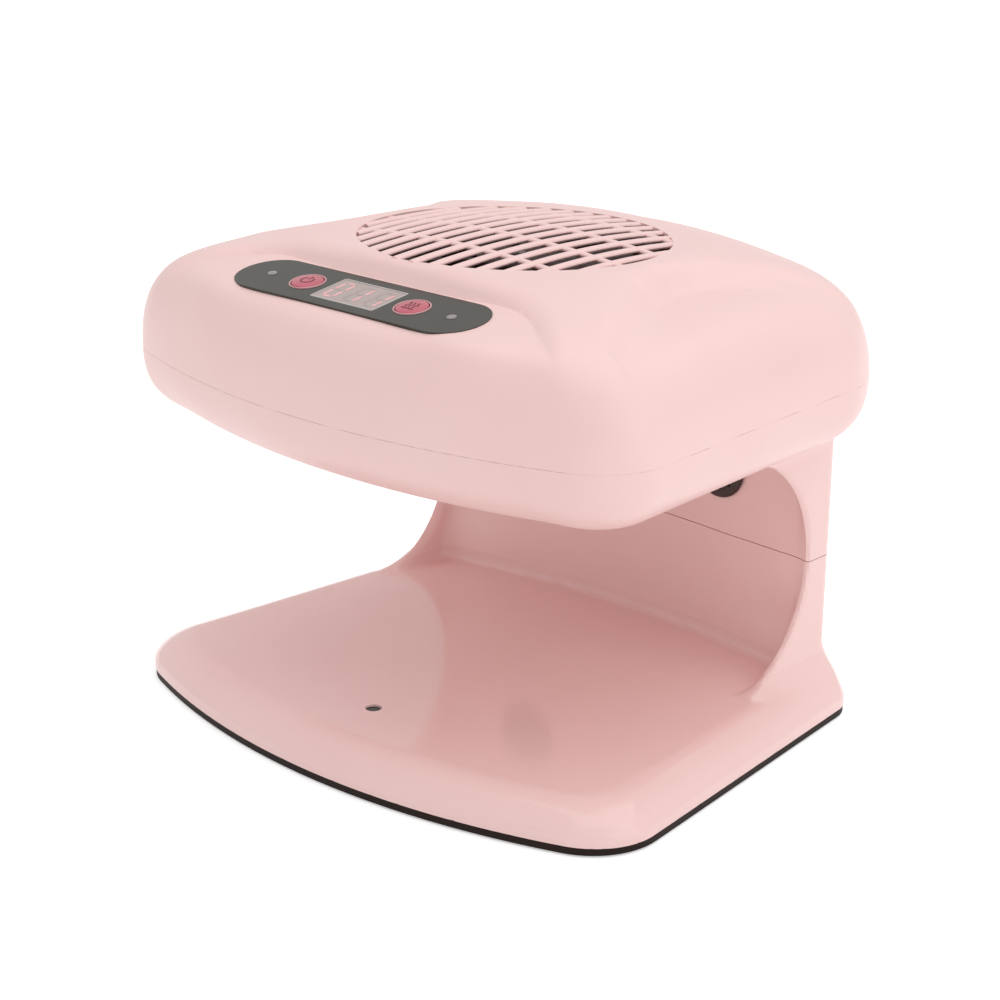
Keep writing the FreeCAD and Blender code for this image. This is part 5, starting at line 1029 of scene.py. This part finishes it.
def round_tree(slot):
    """Copies of a shape turned evenly about Z, and the hub they stand on."""
    tree, inputs = new_tree("blades round a hub", {
        "Object": ("Shape", "Hub"), "Int": ("Count",), "Vector": ("Centre",)})
    shape, hub = (add(tree, "GeometryNodeObjectInfo", {"Object": inputs[key]})
                  for key in ("Shape", "Hub"))
    row = add(tree, "GeometryNodeMeshLine", {"Count": inputs["Count"], "Offset": (0, 0, 0)})
    index = add(tree, "GeometryNodeInputIndex")
    turn = add(tree, MATH, (index, 2 * pi), operation="MULTIPLY")
    turn = add(tree, MATH, (turn, inputs["Count"]), operation="DIVIDE")
    blades = add(tree, "GeometryNodeInstanceOnPoints", {
        "Points": row, "Instance": shape.outputs["Geometry"],
        "Rotation": add(tree, "ShaderNodeCombineXYZ", {"Z": turn})})
    both = add(tree, "GeometryNodeJoinGeometry")
    tree.links.new(hub.outputs["Geometry"], both.inputs[0])
    tree.links.new(blades.outputs[0], both.inputs[0])
    moved = add(tree, "GeometryNodeTransform", {
        "Geometry": both, "Translation": inputs["Centre"]})
    return end_tree(tree, moved, slot)


def coil_tree(slot):
    """Resistance wire wound as a fine helix along rings that step inwards."""
    tree, sizes = new_tree("coiled heating rings", {
        "Int": ("Rings",),
        "Float": ("Outer Radius", "Ring Pitch", "Coil Radius", "Wire Radius",
                  "Turns Per Metre", "Centre Y", "Centre Z")})
    row = add(tree, "GeometryNodeMeshLine", {"Count": sizes["Rings"], "Offset": (0, 0, 0)})
    circle = add(tree, "GeometryNodeCurvePrimitiveCircle", {"Resolution": 3000, "Radius": 1.0})
    index = add(tree, "GeometryNodeInputIndex")
    inwards = add(tree, MATH, (index, sizes["Ring Pitch"]), operation="MULTIPLY")
    radius = add(tree, MATH, (sizes["Outer Radius"], inwards), operation="SUBTRACT")
    scale = add(tree, "ShaderNodeCombineXYZ", (radius, radius, 1.0))
    rings = add(tree, "GeometryNodeInstanceOnPoints", {
        "Points": row, "Instance": circle, "Scale": scale})
    rings = add(tree, "GeometryNodeRealizeInstances", (rings,))
    # a whole number of turns along each ring
    spot = add(tree, "GeometryNodeInputPosition")
    away = add(tree, "ShaderNodeVectorMath", (spot,), operation="LENGTH").outputs["Value"]
    share = add(tree, "GeometryNodeSplineParameter").outputs["Factor"]
    around = add(tree, MATH, (away, 2 * pi), operation="MULTIPLY")
    turns = add(tree, MATH, (around, sizes["Turns Per Metre"]), operation="MULTIPLY")
    turns = add(tree, MATH, (turns,), operation="ROUND")
    phase = add(tree, MATH, (share, turns), operation="MULTIPLY")
    phase = add(tree, MATH, (phase, 2 * pi), operation="MULTIPLY")
    out, up = (add(tree, MATH, (add(tree, MATH, (phase,), operation=wave),
                                sizes["Coil Radius"]), operation="MULTIPLY")
               for wave in ("COSINE", "SINE"))
    grow = add(tree, MATH, (out, away), operation="DIVIDE")
    shift = add(tree, "ShaderNodeVectorMath", {0: spot, "Scale": grow}, operation="SCALE")
    height = add(tree, MATH, (up, sizes["Centre Z"]), operation="ADD")
    lift = add(tree, "ShaderNodeCombineXYZ", {"Y": sizes["Centre Y"], "Z": height})
    offset = add(tree, "ShaderNodeVectorMath", (shift, lift), operation="ADD")
    rings = add(tree, "GeometryNodeSetPosition", {"Geometry": rings, "Offset": offset})
    wire = add(tree, "GeometryNodeCurvePrimitiveCircle", {
        "Resolution": 5, "Radius": sizes["Wire Radius"]})
    coil = add(tree, "GeometryNodeCurveToMesh", {"Curve": rings, "Profile Curve": wire})
    return end_tree(tree, coil, slot)


# ---------------------------------------------------------------- shapes of small pieces

SEGMENTS = {"0": "abcdef", "1": "bc", "2": "abdeg", "3": "abcdg", "4": "bcfg", "5": "acdfg",
            "6": "acdefg", "7": "abc", "8": "abcdefg", "9": "abcdfg"}
DIGIT_PITCH, BAR_GAP = 9.6, 0.28


def digit_bars(look, show):
    """The bars of the display's digits; show says which of lit and unlit ones are wanted."""
    w, h = look.digit_width / MM / 2, look.digit_height / MM / 2
    thick = look.bar_width / MM
    ends = {"a": ((-w, h), (w, h)), "b": ((w, h), (w, 0)), "c": ((w, 0), (w, -h)),
            "d": ((-w, -h), (w, -h)), "e": ((-w, 0), (-w, -h)), "f": ((-w, h), (-w, 0)),
            "g": ((-w, 0), (w, 0))}
    bars = []
    for index, shape in enumerate(look.shown):
        middle = (index - (len(look.shown) - 1) / 2) * DIGIT_PITCH
        for key, (start, end) in ends.items():
            if (key in SEGMENTS[shape]) == show:
                start, end = Vector(start), Vector(end)
                inwards = (end - start).normalized() * (thick / 2 + BAR_GAP)
                line = [(p.x + middle, p.y) for p in (start + inwards, end - inwards)]
                bars.append(stroke(line, thick, 0.1, 0.26 if show else 0.24))
    return bars


def power_sign():
    """An open ring and a bar, raised like thick ink."""
    arc = [(2.3 * sin(a), 2.3 * cos(a)) for a in
           (radians(38 + (360 - 76) * k / 36) for k in range(37))]
    return joined("power_sign", [stroke(line, 0.6, 0.9, 1.13)
                                 for line in (arc, [(0, 0.5), (0, 3.1)])])


def heat_sign():
    """Three rising waves over a bar, raised like thick ink."""
    lines = [[(x + 0.42 * sin(y * 2.4), y) for y in (-1.5 + 4.0 * k / 20 for k in range(21))]
             for x in (-1.7, 0.0, 1.7)] + [[(-2.5, -2.5), (2.5, -2.5)]]
    return joined("heat_sign", [stroke(line, 0.55, 0.9, 1.13) for line in lines])


def screw_shape(length, head=1.6, head_radius=2.8, shank=1.5):
    """A pan-head screw, head down from z = 0 and thread upwards, with a cross recess, in mm."""
    def field(x, y, z):
        away, turn = np.hypot(x, y), np.arctan2(y, x)
        cap = common(away - head_radius, -z, z - head)
        cap = soft_max(cap, away * 0.45 - 1.15 - z, 0.5)
        core = shank - 0.32 * np.abs(2 * ((z / 1.1 - turn / (2 * pi)) % 1) - 1)
        thread = common(away - core, z - length, (away + z - length - 0.2) * 0.7,
                        head - 0.2 - z)
        slot = union(np.maximum(np.abs(x) - 0.32, np.abs(y) - 1.7),
                     np.maximum(np.abs(y) - 0.32, np.abs(x) - 1.7))
        return common(union(cap, thread), -np.maximum(slot, z - 1.0))
    step = 0.24
    return contour("screw", field, (-3.1, -3.1, -0.3), (3.1, 3.1, length + 0.4), step)


def copies(name, shape, places, slot, instead):
    """One piece of like shapes set at the given places, in mm."""
    lent = pattern(name, shape)
    spots = bpy.data.meshes.new(f"{name}_places")
    spots.from_pydata([[c * MM for c in place] for place in places], [], [])
    tree_piece(name, copies_tree(slot), slot, {"Shape": lent}, instead=instead, start=spots)
    bpy.data.objects.remove(lent)


HUB_R, TIP_R, BORE_R = 12.6, 46.4, 1.45
BLADE_HALF_HEIGHT = 3.7


def fan_blade(rows=22, across=12):
    """One blade: its chord widens and its pitch flattens from the hub to the tip."""
    made = bmesh.new()
    upper = [(-1 + 2 * k / across, 1) for k in range(across + 1)]
    lower = [(1 - 2 * k / across, -1) for k in range(1, across)]
    sheets = []
    for share in (i / rows for i in range(rows + 1)):
        radius = HUB_R + (TIP_R - HUB_R) * share
        chord = 12.0 + 15.0 * share ** 0.8
        pitch = asin(6.0 / chord)
        sweep = 9.0 * share ** 1.6
        ring = []
        for u, side in upper + lower:
            camber = 0.9 * (1 - u * u)
            along, up = u * chord / 2, camber + side * 0.75 * sqrt(max(1 - u * u, 0)) ** 0.6
            turn = (along * cos(pitch) - up * sin(pitch) + sweep) / radius
            z = along * sin(pitch) + up * cos(pitch) - 0.5
            z = min(max(z, -BLADE_HALF_HEIGHT), BLADE_HALF_HEIGHT)
            ring.append(made.verts.new((radius * cos(turn) * MM, radius * sin(turn) * MM,
                                        z * MM)))
        sheets.append(ring)
    for first, second in zip(sheets, sheets[1:]):
        for k in range(len(first)):
            made.faces.new((first[k - 1], first[k], second[k], second[k - 1]))
    made.faces.new(sheets[0])
    made.faces.new(sheets[-1][::-1])
    return closed_mesh("blade", made)


def area_lamp(name, place, aim, size, power):
    """A white soft lamp, as wide as it is high, turned to the point it aims at."""
    lamp = bpy.data.lights.new(name, "AREA")
    lamp.shape = "RECTANGLE"
    lamp.size = lamp.size_y = size
    lamp.energy = power
    thing = bpy.data.objects.new(name, lamp)
    bpy.context.scene.collection.objects.link(thing)
    thing.location = place
    thing.rotation_euler = (Vector(aim) - Vector(place)).to_track_quat("-Z", "Y").to_euler()


# ---------------------------------------------------------------- operators

class DRYER_OT_finishes(bpy.types.Operator):
    """Make every finish and give the CAD nodes theirs"""
    bl_idname = "dryer.finishes"
    bl_label = "Make the finishes"

    def execute(self, context):
        make_materials(context.scene.dryer_finish)
        for name, thing in NODES.items():
            thing.data.materials.clear()
            thing.data.materials.append(MATERIALS[SLOT_OF[name]])
            for polygon in thing.data.polygons:
                polygon.material_index = 0
        return {"FINISHED"}


class DRYER_OT_casings(bpy.types.Operator):
    """Make the three pink casings as smooth closed shells"""
    bl_idname = "dryer.casings"
    bl_label = "Make the casings"

    def execute(self, context):
        step = 1.4
        shells = (
            ("top_shell", top_shell_field, (-125, -113, 131), (125, 113, 187),
             (PARTING - SEAM_GAP + PARTING_GAP, 1e3)),
            ("upper_body", upper_body_field, (-125, -113, 58), (125, 113, 137),
             (SEAM + SEAM_GAP / 2, PARTING - SEAM_GAP)),
            ("base_shell", base_shell_field, (-127, -113, 0.2), (127, 91, 64),
             (PLATE_TOP, SEAM - SEAM_GAP / 2)))
        for name, field, low, high, levels in shells:
            mesh = contour(f"{name}_skin", field, low, high, step, levels)
            new_piece(f"{name}_smooth", mesh, "pink_abs", instead=(name,))
        return {"FINISHED"}


class DRYER_OT_grille(bpy.types.Operator):
    """Lay the bars and ribs of the air intake"""
    bl_idname = "dryer.grille"
    bl_label = "Lay the grille"

    def execute(self, context):
        look = context.scene.dryer_grille
        tree_piece("intake_bars", grille_tree("pink_abs"), "pink_abs", {
            "Bars": look.bars, "Bar Pitch": look.bar_pitch, "Bar Width": look.bar_width,
            "Bar Depth": look.bar_depth, "Ribs": look.ribs, "Rib Pitch": look.rib_pitch,
            "Rib Width": look.rib_width, "Rib Start Y": -32.15 * MM, "Rib Sink": 0.3 * MM,
            "Circle Radius": (GRILLE_R + 0.4) * MM, "Centre Y": GRILLE_Y * MM,
            "Top Height": 180.5 * MM, "Dome Rise": 3.4 * MM, "Fall To The Back": CROWN_FALL},
            instead=("top_shell",))
        return {"FINISHED"}


class DRYER_OT_controls(bpy.types.Operator):
    """Make the buttons with their rings and signs, the lamps and the display's digits"""
    bl_idname = "dryer.controls"
    bl_label = "Make the controls"

    def execute(self, context):
        look = context.scene.dryer_controls
        cap = [(0, -4.8), (2.6, -4.8), (2.6, -4.3), (FLANGE_R, -4.3), (FLANGE_R, -3.3),
               (BUTTON_R, -3.3), (BUTTON_R, 0.3)]
        cap += [(BUTTON_R * sin(a), 0.45 + 0.65 * cos(a) ** 0.8)
                for a in (pi / 2 * (1 - k / 14) for k in range(14))] + [(0, 1.1)]
        inner = BUTTON_R + 0.3
        middle, half = (inner + BEZEL_R) / 2, (BEZEL_R - inner) / 2
        ring = [(inner, 0.3)] + [(middle - half * cos(a), 0.36 + 0.34 * sin(a))
                                 for a in (pi * k / 8 for k in range(9))] + [(BEZEL_R, 0.3)]
        for side, key, body in ((-1, "power", "power_key"), (1, "heat", "heat_key")):
            mesh = laid_on_panel(turned(f"{key}_cap", cap), side * BUTTON_X)
            new_piece(f"{key}_button_cap", mesh, "button_rose", body, (f"{key}_button",))
            mesh = laid_on_panel(turned(f"{key}_ring", ring, ring=True), side * BUTTON_X)
            new_piece(f"{key}_ring_round", mesh, "button_rim", "root", (f"{key}_button_ring",))
        new_piece("power_sign", laid_on_panel(power_sign(), -BUTTON_X), "sign_ink", "power_key")
        new_piece("heat_sign", laid_on_panel(heat_sign(), BUTTON_X), "sign_ink", "heat_key")
        # display: lit and unlit bars on the lens, and its pale border
        for name, slot, show in (("display_digits", "digits", True),
                                 ("display_unlit_bars", "display_unlit", False)):
            new_piece(name, laid_on_panel(joined(name, digit_bars(look, show))), slot)
        w, h = WINDOW_SIZE[0] / 2 - 0.3, WINDOW_SIZE[1] / 2 - 0.3
        border = [(-w, -h), (w, -h), (w, h), (-w, h)]
        edges = [stroke(ends, 0.6, 0.05, 0.36) for ends in zip(border, border[1:] + border[:1])]
        new_piece("display_border", laid_on_panel(joined("border", edges)), "display_case")
        lamp = [(0, -10.0), (1.8, -10.0)] + rounded(1.8, -9.0, 0.62, 0.3) + [(0, 0.66)]
        lamps = [laid_on_panel(turned("lamp", lamp, segments=32), side * LAMP_X)
                 for side in (-1, 1)]
        new_piece("indicator_lamp_lenses", joined("lamps", lamps), "lamp_lens", "root",
                  ("indicator_lamps",))
        return {"FINISHED"}


class DRYER_OT_fixings(bpy.types.Operator):
    """Set the cross-recess screws and the rubber feet that show from below"""
    bl_idname = "dryer.fixings"
    bl_label = "Set screws and feet"

    def execute(self, context):
        for node in ("head_screws", "base_screws"):
            boxes = loose_boxes(node)
            places = [((low[0] + high[0]) / 2, (low[1] + high[1]) / 2, low[2])
                      for low, high in boxes]
            copies(f"{node}_cross", screw_shape(boxes[0][1][2] - boxes[0][0][2]), places,
                   "zinc_screw", (node,))
        boxes = loose_boxes("rubber_feet")
        low, high = boxes[0]
        radius, height = (high[0] - low[0]) / 2, high[2] - low[2]
        pad = [(0, 0.25), (radius * 0.45, 0.25), (radius * 0.5, 0.0), (radius - 0.5, 0.0),
               (radius - 0.15, 0.15), (radius, 0.5), (radius, height), (0, height)]
        places = [((low[0] + high[0]) / 2, (low[1] + high[1]) / 2, 0) for low, high in boxes]
        copies("rubber_feet_round", turned("foot", pad), places, "foot_rubber", ("rubber_feet",))
        return {"FINISHED"}


class DRYER_OT_fan(bpy.types.Operator):
    """Make the fan's twisted blades and the coiled heating rings"""
    bl_idname = "dryer.fan"
    bl_label = "Make fan and heater"

    def execute(self, context):
        look = context.scene.dryer_fan
        low, high = ([c / MM for c in corner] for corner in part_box("fan"))
        middle = (low[2] + high[2]) / 2
        hub = [(BORE_R, low[2]), (14.0, low[2]), *rounded(14.0, low[2] + 1, high[2], 1.5)[1:],
               (BORE_R, high[2])]
        blade = pattern("fan_blade", fan_blade())
        core = pattern("fan_hub", turned("hub", [(r, z - middle) for r, z in hub], ring=True))
        tree_piece("fan_twisted", round_tree("fan_plastic"), "fan_plastic", {
            "Shape": blade, "Hub": core, "Count": look.blades,
            "Centre": (0.0, GRILLE_Y * MM, middle * MM)}, "rotor", ("fan",))
        for thing in (blade, core):
            bpy.data.objects.remove(thing)
        low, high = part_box("heating_rings")
        tree_piece("heating_coils", coil_tree("heating_wire"), "heating_wire", {
            "Rings": look.rings, "Outer Radius": (high[0] - low[0]) / 2 - 0.8 * MM,
            "Ring Pitch": 9.0 * MM, "Coil Radius": 0.58 * MM, "Wire Radius": look.wire,
            "Turns Per Metre": 620.0, "Centre Y": GRILLE_Y * MM,
            "Centre Z": (low[2] + high[2]) / 2}, "root", ("heating_rings",), crease=80.0)
        return {"FINISHED"}


class DRYER_OT_stage(bpy.types.Operator):
    """Set the floor, the lamps, the surrounding light and the camera"""
    bl_idname = "dryer.stage"
    bl_label = "Set the stage"

    def execute(self, context):
        look = context.scene.dryer_stage
        self.set_floor(context.scene, look.floor)
        self.set_world(context.scene, look.world)
        area_lamp("key lamp", (1.9, 0.15, 0.9), (0, 0, 0.12), 1.8, look.key)
        area_lamp("top lamp", (0.2, 0.3, 1.9), (0, 0, 0.1), 2.4, look.top)
        self.set_camera(context.scene, look)
        context.scene.view_settings.view_transform = "Standard"
        return {"FINISHED"}

    def set_floor(self, scene, strength):
        """A wide pale sheet that camera and mirrors see white, with a soft shadow"""
        material, tree = blank_material("matt white paper sweep")
        place = add(tree, "ShaderNodeTexCoord").outputs["Object"]
        tone, _ = speckled(tree, place, srgb("#FFFFFF"), srgb("#FBFBFB"), 1 / 0.4)
        paper = add(tree, "ShaderNodeBsdfDiffuse", (tone,))
        path = add(tree, "ShaderNodeLightPath").outputs
        seen = add(tree, MATH, (path["Is Camera Ray"], path["Is Glossy Ray"]),
                   operation="MAXIMUM")
        seen = add(tree, MATH, (seen, path["Is Transmission Ray"]), operation="MAXIMUM")
        share = add(tree, MATH, (seen, strength), operation="MULTIPLY")
        glow = add(tree, "ShaderNodeEmission", {"Color": srgb("#FFFFFF"), "Strength": share})
        add(tree, "ShaderNodeOutputMaterial", (add(tree, "ShaderNodeAddShader", (paper, glow)),))
        mesh = bpy.data.meshes.new("floor")
        half, level = 6.0, -0.1 * MM        # just clear of the feet's flat rings
        mesh.from_pydata([(sx * half, sy * half, level) for sx, sy in
                          ((-1, -1), (1, -1), (1, 1), (-1, 1))], [], [(0, 1, 2, 3)])
        mesh.materials.append(material)
        floor = bpy.data.objects.new("floor", mesh)
        scene.collection.objects.link(floor)

    def set_world(self, scene, strength):
        """White all round, plain white to the camera"""
        scene.world = bpy.data.worlds.new("white room")
        scene.world.use_nodes = True
        tree = scene.world.node_tree
        tree.nodes.clear()
        path = add(tree, "ShaderNodeLightPath").outputs
        seen = add(tree, MATH, (path["Is Camera Ray"], path["Is Transmission Ray"]),
                   operation="MAXIMUM")
        level = add(tree, "ShaderNodeMapRange", {
            "Value": seen, "To Min": strength, "To Max": 1.0})
        sky = add(tree, "ShaderNodeBackground", {"Color": srgb("#FFFFFF"), "Strength": level})
        add(tree, "ShaderNodeOutputWorld", (sky,))

    def set_camera(self, scene, look):
        """A long lens from the right of the front, looking down a little"""
        data = bpy.data.cameras.new("camera")
        data.sensor_width = 36.0
        data.lens = look.lens
        camera = bpy.data.objects.new("camera", data)
        scene.collection.objects.link(camera)
        turn, dip = look.azimuth, look.elevation
        back = Vector((sin(turn) * cos(dip), -cos(turn) * cos(dip), sin(dip)))
        right = Vector((cos(turn), sin(turn), 0))
        up = back.cross(right)
        side = right * cos(look.roll) + up * sin(look.roll)
        head = up * cos(look.roll) - right * sin(look.roll)
        axes = Matrix((side, head, back)).transposed().to_4x4()
        camera.matrix_world = Matrix.Translation(look.place) @ axes
        scene.camera = camera


class DRYER_PT_panel(bpy.types.Panel):
    """Settings and steps of the dryer, in the order in which they are run"""
    bl_label = "Nail polish fan dryer"
    bl_idname = "DRYER_PT_panel"
    bl_space_type = "VIEW_3D"
    bl_region_type = "UI"
    bl_category = "Dryer"

    def draw(self, context):
        for name, group in GROUPS.items():
            box = self.layout.box()
            box.label(text=group.__doc__)
            for key in group.__annotations__:
                box.prop(getattr(context.scene, name), key)
        for operator in OPERATORS:
            self.layout.operator(operator.bl_idname)


GROUPS = {"dryer_finish": FinishSettings, "dryer_grille": GrilleSettings,
          "dryer_controls": ControlSettings, "dryer_fan": FanSettings,
          "dryer_stage": StageSettings}
OPERATORS = (DRYER_OT_finishes, DRYER_OT_casings, DRYER_OT_grille, DRYER_OT_controls,
             DRYER_OT_fixings, DRYER_OT_fan, DRYER_OT_stage)


def register():
    for name, group in GROUPS.items():
        bpy.utils.register_class(group)
        setattr(bpy.types.Scene, name, PointerProperty(type=group))
    for item in OPERATORS + (DRYER_PT_panel,):
        bpy.utils.register_class(item)


def unregister():
    for item in reversed(OPERATORS + (DRYER_PT_panel,)):
        bpy.utils.unregister_class(item)
    for name, group in GROUPS.items():
        delattr(bpy.types.Scene, name)
        bpy.utils.unregister_class(group)


def main():
    register()
    for operator in OPERATORS:
        family, name = operator.bl_idname.split(".")
        getattr(getattr(bpy.ops, family), name)()


if __name__ == "__main__":
    main()
